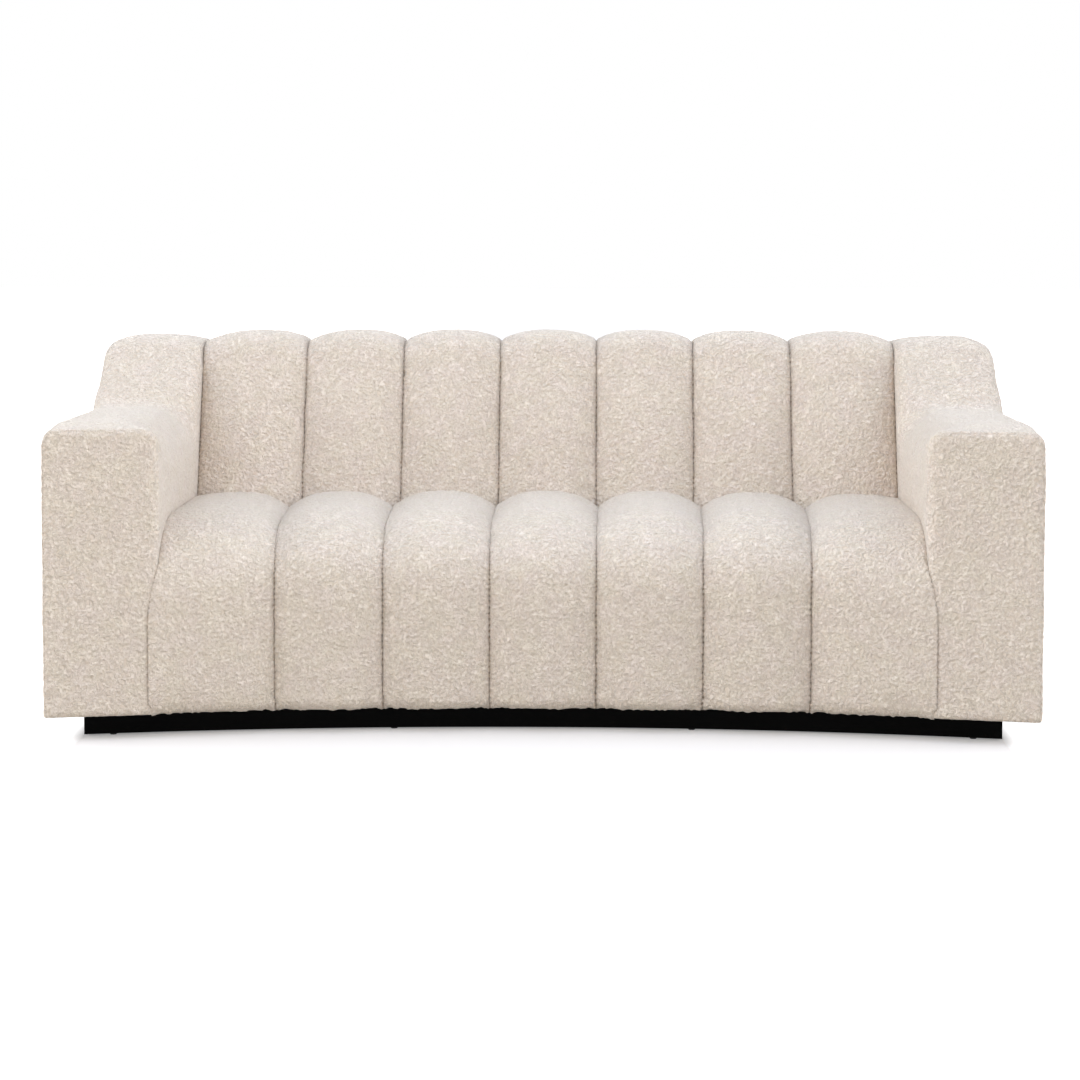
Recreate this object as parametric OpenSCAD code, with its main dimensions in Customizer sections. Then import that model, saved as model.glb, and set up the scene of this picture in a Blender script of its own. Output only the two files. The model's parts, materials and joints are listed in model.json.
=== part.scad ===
// A curved sofa with channel cushions, block arms that sweep up into the back and a
// recessed plinth. Its front, rails and back all follow one arc in plan.
// A place is given as x along the sofa, t behind its front line and z above the floor,
// and place() bends it into the arc. Outlines are lists of [t, z].

/* [Overall size] */
// Width over both arms
sofa_w = 2010; // [1950:10:2150]
// Depth from the front corners of the arms to the middle of the back
sofa_d = 1010; // [990:5:1080]
// Height to the top of the back cushions
sofa_h = 800; // [780:5:840]
// Radius in plan of the front, the rails and the back
arc_r = 3980; // [3600:20:6000]

/* [Seat] */
// Number of channels across the seat, and across the back
channels = 7; // [6:1:8]
// Height of the seat's crown
seat_h = 450; // [440:2:465]
// How deep the front of the seat is rounded over
seat_round_d = 200; // [180:5:220]
// How far down the rounded front of the seat reaches
seat_round_h = 140; // [125:5:155]
// How much a seat channel stands proud of its seams on top
seat_crown = 34; // [24:1:38]
// How much a seat channel stands proud of its seams in front
seat_front_crown = 28; // [20:1:32]
// Padding of a seat channel on top
seat_pad = 75; // [65:1:85]
// Padding of a seat channel in front
seat_front_pad = 60; // [50:1:66]

/* [Back] */
// Angle by which the inside of the back leans
back_lean = 21; // [18:0.5:24]
// Angle by which the outside of the back leans
rear_lean = 5; // [3:0.5:6]
// Depth of the back at its top, before its edges are rounded
back_top_d = 185; // [175:1:200]
// How much a back channel stands proud of its seams
back_crown = 22; // [16:1:26]
// Padding of a back channel in front
back_pad = 75; // [65:1:80]
// Padding of a back channel on top
back_top_pad = 78; // [70:1:86]
// Rounding of the back at the top, in front
back_front_r = 70; // [55:1:85]
// Rounding of the back at the top, behind
back_rear_r = 50; // [40:1:56]
// Height of the seam under the roll of the back, behind
hook_z = 690; // [670:5:695]

/* [Arms] */
// Width of an arm
arm_w = 226; // [210:2:240]
// Height of an arm
arm_h = 633; // [610:1:645]
// How far the arms stand in front of the seat
arm_proud = 4; // [2:1:10]
// How far the arm's rear end lies below the top of the back
end_drop = 8; // [4:1:20]
// Depth of the arm's level rear end, before its edges are rounded
end_d = 165; // [155:1:185]
// How far in front of the back cushions the arm's top starts to rise
sweep_lead = 10; // [0:1:25]
// Padding on the inner side of an arm
arm_inner_pad = 25; // [22:1:32]
// Padding on the outer side of an arm
arm_outer_pad = 14; // [10:1:18]
// Padding on the front of an arm
arm_front_pad = 30; // [26:1:36]
// Padding on the top of an arm
arm_top_pad = 35; // [30:1:42]

/* [Frame] */
// Height of the rails of the seat frame
rail_h = 191; // [175:1:195]
// Thickness of the rails
rail_t = 25; // [22:1:28]
// How far the seat frame reaches behind the seat
frame_over = 30; // [28:1:40]
// Thickness of the plywood panels and ribs
ply_t = 18; // [15:1:21]
// Number of ribs that carry the back
ribs = 5; // [4:1:6]
// Spacing of the seat springs
spring_spacing = 190; // [160:5:220]
// Thickness of the spring wire
wire_d = 3.8; // [3:0.1:4.2]

/* [Plinth] */
// Height of the plinth above its glides
plinth_h = 45; // [40:1:50]
// How far the plinth stands back from the front and the rear
plinth_recess = 60; // [50:1:70]
// How far the plinth stands back from the sides
plinth_side_recess = 70; // [60:1:80]
// Height of the floor glides
glide_h = 3; // [2:0.5:5]

/* [Hidden] */
// Gap between two hard pieces that are fitted by a curve or a bore
fit = 0.3;
// Gap round each soft piece
soft_gap = 0.4;
// How far a cut runs past what it cuts
overrun = 5;
// Facets of small and of very large circles
$fn = 48;
arc_fn = 1440;

// Shape of a channel from its middle to a seam
crown_power = 2.5;
across_shares = [-1, -0.87, -0.65, -0.35, 0, 0.35, 0.65, 0.87, 1];
// Crown of the outer seat channels beside the arms, on top and in front, where they come
// forward to the front of the arms, and extra width of those channels
arm_side_share = 0.24;
arm_front_share = -0.12;
outer_share = 0.05;
// How much wider apart the seams are at the rear of the seat than in front
fan_share = 0.045;
// Rounding of the lower front edges of the seat and of the arms
seat_lip = 24;
lip = 10;
round_steps = 6;
// Rear leg of a back channel: its crown there
hook_crown = 5;
// Inside corners of the back channels, over the top rail
hollow_r = 5;
// Heights of a back channel's face that have points of their own
face_shares = [0, 0.3, 0.65];

// Rounding of the arms: in front, on top, and on the rear end, where it runs farther
arm_front_r = 15;
arm_front_inner_r = 20;
arm_front_top_r = 15;
arm_top_r = 40;
arm_top_inner_r = 50;
end_r = 45;
end_run = 75;
sweep_inner_r = 35;
rear_edge_r = 30;
rear_seam_r = 5;
// Radii in the side view of an arm where its top starts and stops rising
dip_r = 90;
bend_r = 100;
// Crown of the arm's rear end beside the first back channel, and its width
end_crown = 14;
end_crown_w = 110;
// Padding over the arm frame at the rise, on the rear end and behind
sweep_pad = 35;
end_pad = 60;
arm_rear_pad = 13;
edge_shares = [0, 0.08, 0.3, 0.6, 1];
// Centre of the flat ends of an arm, as shares of the depth and of the arm's height
hub_shares = [0.8, 0.55];
// Points along a curved piece made of flat facets lie this far apart
facet_w = 62;

// Dust cover under the frame
dust_t = 1;
// Springs: bars across, half turns between them, clips and the cloth above
spring_w = 56;
spring_turns = 17;
clip_w = 16;
clip_d = 14;
clip_base = 1.5;
clip_lip = 0.5;
clip_play = 0.15;
deck_t = 2;
// Stretchers and corner blocks of the seat frame
stretcher_h = 120;
block_w = 38;
block_h = 110;
// Back frame: rails and their heights, and the holes that lighten the ribs
top_rail_h = 22;
lower_rail_h = 50;
lower_rail_t = 20;
lower_rail_lift = 12;
base_rail_h = 60;
base_rail_t = 22;
rib_hole_r = 42;
rib_hole_z_shares = [0.19, 0.42, 0.68];
rib_hole_r_shares = [1, 1, 0.7];
// Webbing of the back
strap_w = 50;
strap_t = 1.6;
strap_rows = 4;
strap_columns = 9;
strap_row_shares = [0.12, 0.9];
// Outside of the back: a board and a padded cover
cover_t = 8;
cover_edge_r = 6;
board_t = 3;
// Arm frame: spacers between the panels
spacer_inset = 40;
spacer_end_inset = 30;
// Arm bolts with tee nuts: their shank and places, head, flange and barrel
bolt_d = 8;
bolt_z_share = 0.55;
bolt_t_shares = [0.06, 0.47, 0.88];
bolt_head_d = 18;
bolt_head_h = 6;
nut_flange_d = 22;
nut_flange_t = 1.5;
nut_barrel_d = 11;
nut_barrel_h = 13;
bolt_end = 6;
// Plinth: board thickness, blocks, braces, screws and glides
plinth_t = 18;
plinth_block_w = 45;
plinth_block_drop = 5;
screw_d = 6;
screw_head_d = 12;
screw_head_h = 4;
screw_rise = 15;
screw_sink = 12;
glide_d = 16;
glide_base_d = 13;
glide_x_shares = [-0.94, -0.33, 0.33, 0.94];

// Levels above the floor
plinth_top = glide_h + plinth_h;
cushion_z = plinth_top;
frame_z = plinth_top + dust_t;
rail_top = frame_z + rail_h;
spring_z = rail_top + clip_base + wire_d / 2;
deck_z = rail_top + clip_base + wire_d + clip_lip + fit;
core_z = deck_z + deck_t + fit;
core_top = seat_h - seat_pad - soft_gap;
back_z = core_top + soft_gap;
top_rail_top = sofa_h - back_top_pad - soft_gap;
top_rail_z = top_rail_top - top_rail_h;
lower_rail_z = rail_top + lower_rail_lift;
end_h = sofa_h - end_drop;

// Widths
half_w = sofa_w / 2;
seat_half = half_w - arm_w;
channel_w = 2 * seat_half / (channels + 2 * outer_share);
frame_half = seat_half - soft_gap;
inner_panel_x = seat_half + arm_inner_pad;
outer_panel_x = half_w - arm_outer_pad;
plinth_half = half_w - plinth_side_recess;

// The arc in plan
function sag(x) = arc_r - sqrt(arc_r * arc_r - x * x);
// Inset of a rounded edge at a distance d from the side that it meets, for a radius r or
// for an edge that reaches r down and run across
function oval_in(d, run, r) = d >= run ? 0 : r * (1 - sqrt(1 - pow(1 - d / run, 2)));
function round_in(d, r) = oval_in(d, r, r);
arm_places = concat(
    [for (s = edge_shares) s * arm_top_r],
    [end_run, arm_w / 2],
    [for (i = [len(edge_shares) - 1 : -1 : 0]) arm_w - edge_shares[i] * arm_top_inner_r]
);
arm_reach = max([for (d = arm_places) sag(half_w - d) - round_in(d, arm_front_r)]);
front_mid_y = arm_reach + arm_proud - sofa_d / 2;
body_d = sofa_d / 2 - front_mid_y;
function front_y(x) = front_mid_y - sag(x);
function place(x, p) = [x, front_y(x) + p[0], p[1]];
// How far the arc moves on across a flat piece between two places
function skew(x0, x1) = front_y(min(abs(x0), abs(x1))) - front_y(max(abs(x0), abs(x1)));

// Depths of the seat and of the arm's rise, and the angle of that rise
seat_d = body_d - back_top_d - (sofa_h - seat_h) * tan(back_lean);
sweep_t = seat_d - sweep_lead;
sweep_angle = atan((end_h - arm_h) / (body_d - end_d - sweep_t));

// Depths: the leaning face of the back at a height, q behind its surface, and the rear
function face_t(z, q) = seat_d + (z - seat_h) * tan(back_lean) + q / cos(back_lean);
function rear_t(z) = body_d - (sofa_h - back_rear_r - z) * tan(rear_lean);
strap_q = back_pad + soft_gap;
rib_q = strap_q + 2 * (strap_t + fit);
rear_build = cover_t + board_t + 2 * fit;
frame_d = seat_d + frame_over;
front_rail_t = seat_front_pad + soft_gap;
rear_rail_t = frame_d - rail_t;
frame_rear_t = rear_t(frame_z) - rear_build;
plinth_rear_t = rear_t(plinth_top) - plinth_recess;
lower_rail_rear = face_t(lower_rail_z + lower_rail_h, rib_q) + lower_rail_t;

// Lists
function reversed(list) = [for (i = [len(list) - 1 : -1 : 0]) list[i]];
function along(a, b, n) = [for (i = [0 : n]) a + (b - a) * i / n];
// Places along a long curved piece
function stations(x0, x1) = along(x0, x1, ceil((x1 - x0) / facet_w));
// Points round an arc or an ellipse about c, from angle a to angle b
function arc(c, rt, rz, a, b, n) = [for (w = along(a, b, n)) c + [rt * cos(w), rz * sin(w)]];

// A solid through rings of points, one after another along x. Its ends are closed by
// pairing the first half of the ring with the second, or by a fan about each hub.
module ringed(rings, hubs = []) {
    n = len(rings[0]);
    far = (len(rings) - 1) * n;
    hub = far + n;
    sides = [for (i = [0 : len(rings) - 2], j = [0 : n - 1])
        let (a = i * n + j, b = i * n + (j + 1) % n)
        each [[a, b, b + n], [a, b + n, a + n]]];
    pairs = [for (j = [0 : n / 2 - 2])
        let (k = n - 1 - j)
        each [[k, k - 1, j + 1], [k, j + 1, j],
              [far + j, far + j + 1, far + k - 1], [far + j, far + k - 1, far + k]]];
    fans = [for (j = [0 : n - 1])
        let (k = (j + 1) % n)
        each [[k, j, hub], [far + j, far + k, hub + 1]]];
    polyhedron(
        points = concat([for (ring = rings) each ring], hubs),
        faces = concat(sides, len(hubs) == 2 ? fans : pairs)
    );
}

// An outline carried along the arc from x0 to x1; its point count is even
module swept(outline, x0, x1) {
    ringed([for (x = stations(x0, x1)) [for (p = outline) place(x, p)]]);
}

// The part of the plan between two depths behind the front, from x0 to x1
module strip(x0, x1, t0, t1) {
    near_y = front_y(max(abs(x0), abs(x1))) + t0 - overrun;
    far_y = front_mid_y + t1 + overrun;
    intersection() {
        translate([x0, near_y]) square([x1 - x0, far_y - near_y]);
        difference() {
            translate([0, front_mid_y + t1 - arc_r]) circle(r = arc_r, $fn = arc_fn);
            translate([0, front_mid_y + t0 - arc_r]) circle(r = arc_r, $fn = arc_fn);
        }
    }
}

// A board with upright faces that follows the arc
module board(x0, x1, t0, t1, z0, z1) {
    translate([0, 0, z0]) linear_extrude(z1 - z0) strip(x0, x1, t0, t1);
}

// A flat panel of thickness ply_t that stands across the sofa at x, inner side at x
module panel(x, outline) {
    translate([x, front_y(x), 0])
        rotate([90, 0, 90])
            linear_extrude(ply_t) polygon(outline);
}

// Both sides of the sofa
module both() {
    children();
    mirror([1, 0, 0]) children();
}

// An upright cylinder at a place in plan
module post(x, t, z0, z1, d, d_top) {
    translate([x, front_y(x) + t, z0]) cylinder(d1 = d, d2 = d_top, h = z1 - z0);
}

// Seam k of the seat or the back, counted from the left, at a depth t. The outer ones
// follow the rounded front edges of the arms.
function seam_x(k, fan, t) =
    let (outer = seat_half + round_in(t + arm_proud + soft_gap, arm_front_inner_r))
    k == 0 ? -outer
    : k == channels ? outer
    : (k - channels / 2) * channel_w * (1 + fan * t / seat_d);
// Place across channel k, from -1 at its left seam to 1 at its right one
function across_x(k, u, fan, t) =
    let (a = seam_x(k - 1, fan, t), b = seam_x(k, fan, t))
    (a + b) / 2 + u * (b - a - soft_gap) / 2;
function channel_place(k, u, fan, p) = place(across_x(k, u, fan, p[0]), p);
// How far a channel falls from its crown at u, as a share of the fall at a seam
function fall_share(k, u, side_share) =
    let (beside_arm = (k == 1 && u < 0) || (k == channels && u > 0))
    (beside_arm ? side_share : 1) * pow(abs(u), crown_power);

// Section of a seat channel: up its front, over the rounded edge and back along the top
function seat_line(front_in, top_in, edge) = concat(
    arc([front_in + edge, cushion_z + seat_lip], edge, seat_lip, 270, 180, 2),
    arc(
        [seat_round_d, seat_h - seat_round_h],
        seat_round_d - front_in, seat_round_h - top_in, 180, 90, round_steps
    ),
    [for (t = [(seat_round_d + seat_d) / 2, face_t(seat_h - top_in, -soft_gap)])
        [t, seat_h - top_in]]
);

module seat_channel(k) {
    inner = reversed(seat_line(seat_front_pad, seat_pad, 0));
    color("linen") ringed([for (u = across_shares)
        let (
            front_in = seat_front_crown * fall_share(k, u, arm_front_share),
            top_in = seat_crown * fall_share(k, u, arm_side_share)
        )
        [for (p = concat(seat_line(front_in, top_in, seat_lip), inner))
            channel_place(k, u, fan_share, p)]]);
}

// Section of a back channel: up its leaning face, over the top and down behind
function back_line(face_in, top_in, rear_in, front_r, rear_r) =
    let (
        top = sofa_h - top_in,
        front_c = [face_t(top - front_r, face_in + front_r), top - front_r],
        rear_c = [rear_t(top - rear_r) - rear_in - rear_r / cos(rear_lean), top - rear_r]
    )
    concat(
        [for (s = face_shares)
            let (z = back_z + s * (front_c[1] - back_z))
            [face_t(z, face_in), z]],
        arc(front_c, front_r, front_r, 180 - back_lean, 90, round_steps - 2),
        arc(rear_c, rear_r, rear_r, 90, -rear_lean, round_steps - 2),
        [[rear_t(hook_z) - rear_in, hook_z]]
    );

module back_channel(k) {
    inner = reversed(back_line(back_pad, back_top_pad, rear_build - fit, hollow_r, hollow_r));
    color("antiquewhite") ringed([for (u = across_shares)
        let (s = fall_share(k, u, 1), c = back_crown * s)
        [for (p = concat(back_line(c, c, hook_crown * s, back_front_r, back_rear_r), inner))
            channel_place(k, u, 0, p)]]);
}

// Side view of an arm, from its front edge over the top and the rise to its rear edge,
// inset by a distance on each side. r holds the radii of its four corners in turn.
function sweep_t_at(z, q) =
    sweep_t + (z - arm_h) / tan(sweep_angle) + q / sin(sweep_angle);
function arm_line(front_in, top_in, sweep_in, end_in, rear_in, r) =
    let (
        front_t = front_in - arm_proud,
        top = arm_h - top_in,
        end_top = end_h - end_in,
        half = tan(sweep_angle / 2)
    )
    concat(
        arc([front_t + r[0], top - r[0]], r[0], r[0], 180, 90, 3),
        arc(
            [sweep_t_at(top, sweep_in) - r[1] * half, top + r[1]],
            r[1], r[1], -90, sweep_angle - 90, 4
        ),
        arc(
            [sweep_t_at(end_top, sweep_in) + r[2] * half, end_top - r[2]],
            r[2], r[2], 90 + sweep_angle, 90, 5
        ),
        arc(
            [rear_t(end_top - r[3]) - rear_in - r[3] / cos(rear_lean), end_top - r[3]],
            r[3], r[3], 90, -rear_lean, 4
        )
    );

// One ring of an arm's cover, at a distance d from its outer side
function arm_ring(d) =
    let (
        i = arm_w - d,
        front_in = max(round_in(d, arm_front_r), round_in(i, arm_front_inner_r)),
        top_in = max(round_in(d, arm_top_r), round_in(i, arm_top_inner_r)),
        sweep_in = max(round_in(d, end_r), round_in(i, sweep_inner_r)),
        crown = end_crown * pow(max(0, 1 - i / end_crown_w), crown_power),
        end_in = max(oval_in(d, end_run, end_r), crown),
        rear_in = max(round_in(d, rear_edge_r), round_in(i, rear_seam_r)),
        r = [arm_front_top_r, dip_r, bend_r, back_rear_r],
        front_t = front_in - arm_proud,
        foot_z = cushion_z + lip
    )
    [for (p = concat(
        [[front_t + lip, cushion_z], [front_t, foot_z]],
        arm_line(front_in, top_in, sweep_in, end_in, rear_in, r),
        [[rear_t(foot_z) - rear_in, foot_z], [rear_t(cushion_z) - rear_in - lip, cushion_z]]
    )) place(half_w - d, p)];

// Outline of the arm's frame, and of the hollow that holds it when grow is the gap
function arm_frame_line(grow, rear_skew, base_z) =
    let (
        front_in = arm_front_pad - grow,
        rear_in = arm_rear_pad - grow + rear_skew,
        r = [hollow_r, dip_r, bend_r - sweep_pad, back_rear_r - arm_rear_pad]
    )
    concat(
        [[front_in - arm_proud, base_z]],
        arm_line(front_in, arm_top_pad - grow, sweep_pad - grow, end_pad - grow, rear_in, r),
        [[rear_t(base_z) - rear_in, base_z]]
    );

hub = [hub_shares[0] * body_d, hub_shares[1] * arm_h];

// Right arm's padding and cover, one shell open below for the frame and the side rail
module arm_upholstery() {
    x0 = inner_panel_x - soft_gap;
    x1 = outer_panel_x + soft_gap;
    hollow = arm_frame_line(soft_gap, 0, cushion_z - overrun);
    color("linen") difference() {
        ringed(
            [for (d = reversed(arm_places)) arm_ring(d)],
            [place(seat_half, hub), place(half_w, hub)]
        );
        ringed(
            [for (x = stations(x0, x1)) [for (p = hollow) place(x, p)]],
            [place(x0, hub), place(x1, hub)]
        );
        board(
            seat_half - overrun, inner_panel_x + overrun,
            front_rail_t - soft_gap, rear_t(cushion_z) - arm_rear_pad,
            cushion_z - overrun, rail_top + soft_gap
        );
    }
}

bolt_z = frame_z + bolt_z_share * rail_h;
module at_bolts() {
    t0 = front_rail_t + rail_t;
    for (s = bolt_t_shares)
        translate([0, front_y(seat_half) + t0 + s * (rear_rail_t - t0), bolt_z])
            rotate([0, 90, 0]) children();
}

module arm_inner_panel() {
    outline = arm_frame_line(0, skew(inner_panel_x, inner_panel_x + ply_t), frame_z);
    color("burlywood") difference() {
        panel(inner_panel_x, outline);
        at_bolts()
            translate([0, 0, inner_panel_x - overrun])
                cylinder(d = nut_barrel_d + fit, h = ply_t + 2 * overrun);
    }
}

module arm_outer_panel() {
    x = outer_panel_x - ply_t;
    color("burlywood") panel(x, arm_frame_line(0, skew(x, outer_panel_x), frame_z));
}

spacer_x0 = inner_panel_x + ply_t;
spacer_x1 = outer_panel_x - ply_t;
arm_front_t = arm_front_pad - arm_proud;
spacer_top = arm_h - arm_top_pad;

module arm_front_board() {
    color("peru") board(
        spacer_x0, spacer_x1, arm_front_t + fit, arm_front_t + fit + ply_t, frame_z, spacer_top
    );
}

// Screws that hold the plinth up to the arms' lower spacers
screw_x = plinth_half - plinth_t - plinth_block_w / 2;
screw_ts = [
    plinth_recess + plinth_t + plinth_block_w / 2,
    plinth_rear_t - plinth_t - plinth_block_w / 2
];
screw_z = glide_h + screw_rise;
module screw_holes() {
    for (t = screw_ts)
        post(screw_x, t, screw_z + screw_head_h, frame_z + ply_t + overrun,
            screw_d + fit, screw_d + fit);
}

// Boards that hold the two panels of an arm apart: below, on top, behind and at the end
module arm_spacers() {
    rear = rear_t(frame_z) - arm_rear_pad - spacer_inset;
    end_top = end_h - end_pad - ply_t;
    end_t = sweep_t_at(end_top, sweep_pad) + spacer_end_inset;
    color("peru") {
        difference() {
            board(spacer_x0, spacer_x1, front_rail_t, rear - ply_t, frame_z, frame_z + ply_t);
            screw_holes();
        }
        board(spacer_x0, spacer_x1, front_rail_t, sweep_t - spacer_inset,
            spacer_top - ply_t, spacer_top);
        board(spacer_x0, spacer_x1, rear - ply_t, rear, frame_z + ply_t, spacer_top - ply_t);
        board(spacer_x0, spacer_x1, end_t, end_t + 2 * spacer_inset, end_top - ply_t, end_top);
    }
}

module arm_bolts() {
    color("silver") both() at_bolts() {
        translate([0, 0, seat_half]) cylinder(d = bolt_d, h = arm_inner_pad + ply_t + bolt_end);
        translate([0, 0, seat_half - bolt_head_h]) cylinder(d = bolt_head_d, h = bolt_head_h, $fn = 6);
    }
}

module tee_nuts() {
    color("silver") both() at_bolts() translate([0, 0, inner_panel_x]) difference() {
        union() {
            translate([0, 0, ply_t - nut_barrel_h])
                cylinder(d = nut_barrel_d, h = nut_barrel_h);
            translate([0, 0, ply_t]) cylinder(d = nut_flange_d, h = nut_flange_t);
        }
        cylinder(d = bolt_d + fit, h = ply_t + overrun);
    }
}

module front_rail() {
    color("burlywood") board(
        -seat_half, seat_half, front_rail_t, front_rail_t + rail_t, frame_z, rail_top
    );
}

module rear_rail() {
    color("burlywood") board(-seat_half, seat_half, rear_rail_t, frame_d, frame_z, rail_top);
}

// Right side rail, between the seat and the arm's inner panel
module side_rail() {
    color("burlywood") difference() {
        board(seat_half, inner_panel_x, front_rail_t, frame_rear_t - base_rail_t, frame_z, rail_top);
        at_bolts()
            translate([0, 0, seat_half - overrun])
                cylinder(d = bolt_d + fit, h = arm_inner_pad + 2 * overrun);
    }
}

module seat_stretchers() {
    color("peru") for (x = [-seat_half / 2, 0, seat_half / 2])
        board(x - ply_t / 2, x + ply_t / 2, front_rail_t + rail_t, rear_rail_t,
            frame_z, frame_z + stretcher_h);
}

// Blocks in the four corners of the seat frame, cut across on the inside
module seat_corner_blocks() {
    z = frame_z + rail_h - block_h;
    x = seat_half - block_w;
    color("peru") both() for (t = [front_rail_t + rail_t, rear_rail_t - block_w])
        board(x, seat_half, t, t + block_w, z - block_w, z);
}

// Sinuous springs: bars across the seat, joined by half turns at alternate ends
spring_t0 = front_rail_t + rail_t / 2;
spring_t1 = rear_rail_t + rail_t / 2;
spring_pitch = (spring_t1 - spring_t0) / spring_turns;
spring_bar = spring_w - spring_pitch - wire_d;
spring_count = floor(2 * (seat_half - spring_w) / spring_spacing) + 1;
spring_xs = [for (i = [0 : spring_count - 1]) (i - (spring_count - 1) / 2) * spring_spacing];

// The bend at one end of two bars, as a flat half ring about its centre
module spring_bend(side) {
    outer_r = (spring_pitch + wire_d) / 2;
    intersection() {
        difference() {
            circle(r = outer_r);
            circle(r = outer_r - wire_d);
        }
        translate([side > 0 ? 0 : -2 * outer_r, -2 * outer_r]) square([2 * outer_r, 4 * outer_r]);
    }
}

module spring() {
    translate([0, 0, -wire_d / 2]) linear_extrude(wire_d) {
        for (i = [0 : spring_turns])
            translate([-spring_bar / 2, i * spring_pitch - wire_d / 2])
                square([spring_bar, wire_d]);
        for (i = [0 : spring_turns - 1])
            let (side = i % 2 == 0 ? 1 : -1)
            translate([side * spring_bar / 2, (i + 0.5) * spring_pitch]) spring_bend(side);
    }
}

module seat_springs() {
    color("dimgray") for (x = spring_xs)
        translate([x, front_y(x) + spring_t0, spring_z]) spring();
}

module spring_clips() {
    color("silver") for (x = spring_xs, t = [spring_t0, spring_t1])
        translate([x, front_y(x) + t, rail_top]) difference() {
            translate([-clip_w / 2, -clip_d / 2, 0])
                cube([clip_w, clip_d, clip_base + wire_d + clip_lip]);
            translate([-clip_w, -wire_d / 2 - clip_play, clip_base - clip_play])
                cube([2 * clip_w, wire_d + 2 * clip_play, wire_d + 2 * clip_play]);
        }
}

module deck_cloth() {
    color("gainsboro") board(
        -frame_half, frame_half, front_rail_t + fit, frame_d - fit, deck_z, deck_z + deck_t
    );
}

// Foam block under the seat channels, rounded in front as they are
module seat_foam_core() {
    round_t = seat_front_pad + soft_gap;
    round_z = seat_pad + soft_gap;
    line = concat(
        arc(
            [seat_round_d, seat_h - seat_round_h],
            seat_round_d - round_t, seat_round_h - round_z, 180, 90, round_steps
        ),
        [[face_t(core_top, back_pad), core_top]],
        [[face_t(core_z, back_pad), core_z]],
        [for (t = along(seat_round_d, round_t, round_steps)) [t, core_z]]
    );
    color("khaki") swept(line, -frame_half, frame_half);
}

rib_span = 2 * frame_half - ply_t;
rib_xs = [for (i = [0 : ribs - 1]) rib_span * (i / (ribs - 1) - 0.5)];

// Side view of a rib: notched for the lower rail in front and the base rail behind
function rib_line(back_off) =
    let (
        notch_z = lower_rail_z,
        notch_top = lower_rail_z + lower_rail_h + fit,
        base_top = frame_z + base_rail_h + fit,
        rear = function (z) rear_t(z) - rear_build - back_off
    )
    [
        [frame_d + fit, frame_z],
        [frame_d + fit, notch_z],
        [lower_rail_rear + fit, notch_z],
        [lower_rail_rear + fit, notch_top],
        [face_t(notch_top, rib_q), notch_top],
        [face_t(top_rail_z, rib_q), top_rail_z],
        [rear(top_rail_z), top_rail_z],
        [rear(base_top), base_top],
        [frame_rear_t - base_rail_t - back_off, base_top],
        [frame_rear_t - base_rail_t - back_off, frame_z]
    ];

module back_ribs() {
    color("burlywood") for (x = rib_xs) {
        x0 = x - ply_t / 2;
        x1 = x + ply_t / 2;
        off = skew(x0, x1);
        near = min(abs(x0), abs(x1));
        translate([x0, front_y(near), 0]) rotate([90, 0, 90]) linear_extrude(ply_t)
            difference() {
                polygon(rib_line(off));
                for (i = [0 : len(rib_hole_z_shares) - 1]) {
                    z = frame_z + rib_hole_z_shares[i] * (top_rail_z - frame_z);
                    front = max(lower_rail_rear, face_t(z, rib_q));
                    translate([(front + rear_t(z) - rear_build) / 2, z])
                        circle(r = rib_hole_r * rib_hole_r_shares[i]);
                }
            }
    }
}

module back_top_rail() {
    color("burlywood") board(
        -frame_half, frame_half,
        face_t(top_rail_top, rib_q), rear_t(top_rail_z) - rear_build - hollow_r,
        top_rail_z, top_rail_top
    );
}

module back_lower_rail() {
    top = lower_rail_z + lower_rail_h;
    color("burlywood") swept(
        [[face_t(lower_rail_z, rib_q), lower_rail_z], [face_t(top, rib_q), top],
         [lower_rail_rear, top], [lower_rail_rear, lower_rail_z]],
        -frame_half, frame_half
    );
}

module back_base_rail() {
    color("burlywood") board(
        -frame_half, frame_half, frame_rear_t - base_rail_t, frame_rear_t,
        frame_z, frame_z + base_rail_h
    );
}

// Outline of a strap that lies on the lean of the back between two heights
function strap_line(z0, z1, q) = [
    [face_t(z0, q), z0], [face_t(z1, q), z1],
    [face_t(z1, q + strap_t), z1], [face_t(z0, q + strap_t), z0]
];

module horizontal_webbing() {
    lift = strap_w * cos(back_lean);
    rise = top_rail_z - back_z;
    color("tan") for (s = along(strap_row_shares[0], strap_row_shares[1], strap_rows - 1))
        let (z = back_z + s * rise - lift / 2)
        swept(strap_line(z, z + lift, strap_q), -frame_half, frame_half);
}

module vertical_webbing() {
    span = 2 * (frame_half - strap_w);
    line = strap_line(core_z + fit, top_rail_top, strap_q + strap_t + fit);
    color("tan") for (x = along(-span / 2, span / 2, strap_columns - 1))
        swept(line, x - strap_w / 2, x + strap_w / 2);
}

module outside_back_board() {
    z0 = frame_z + fit;
    z1 = hook_z - soft_gap;
    q = cover_t + fit;
    color("sandybrown") swept(
        [[rear_t(z0) - q - board_t, z0], [rear_t(z1) - q - board_t, z1],
         [rear_t(z1) - q, z1], [rear_t(z0) - q, z0]],
        -frame_half, frame_half
    );
}

module outside_back_cover() {
    z0 = cushion_z;
    z1 = hook_z - soft_gap;
    r = cover_edge_r;
    color("linen") swept(
        [[rear_t(z0) - cover_t, z0], [rear_t(z0 + r) - cover_t, z0 + r],
         [rear_t(z1 - r) - cover_t, z1 - r], [rear_t(z1) - cover_t, z1],
         [rear_t(z1) - r, z1], [rear_t(z1 - r), z1 - r],
         [rear_t(z0 + r), z0 + r], [rear_t(z0) - r, z0]],
        -frame_half, frame_half
    );
}

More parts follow.
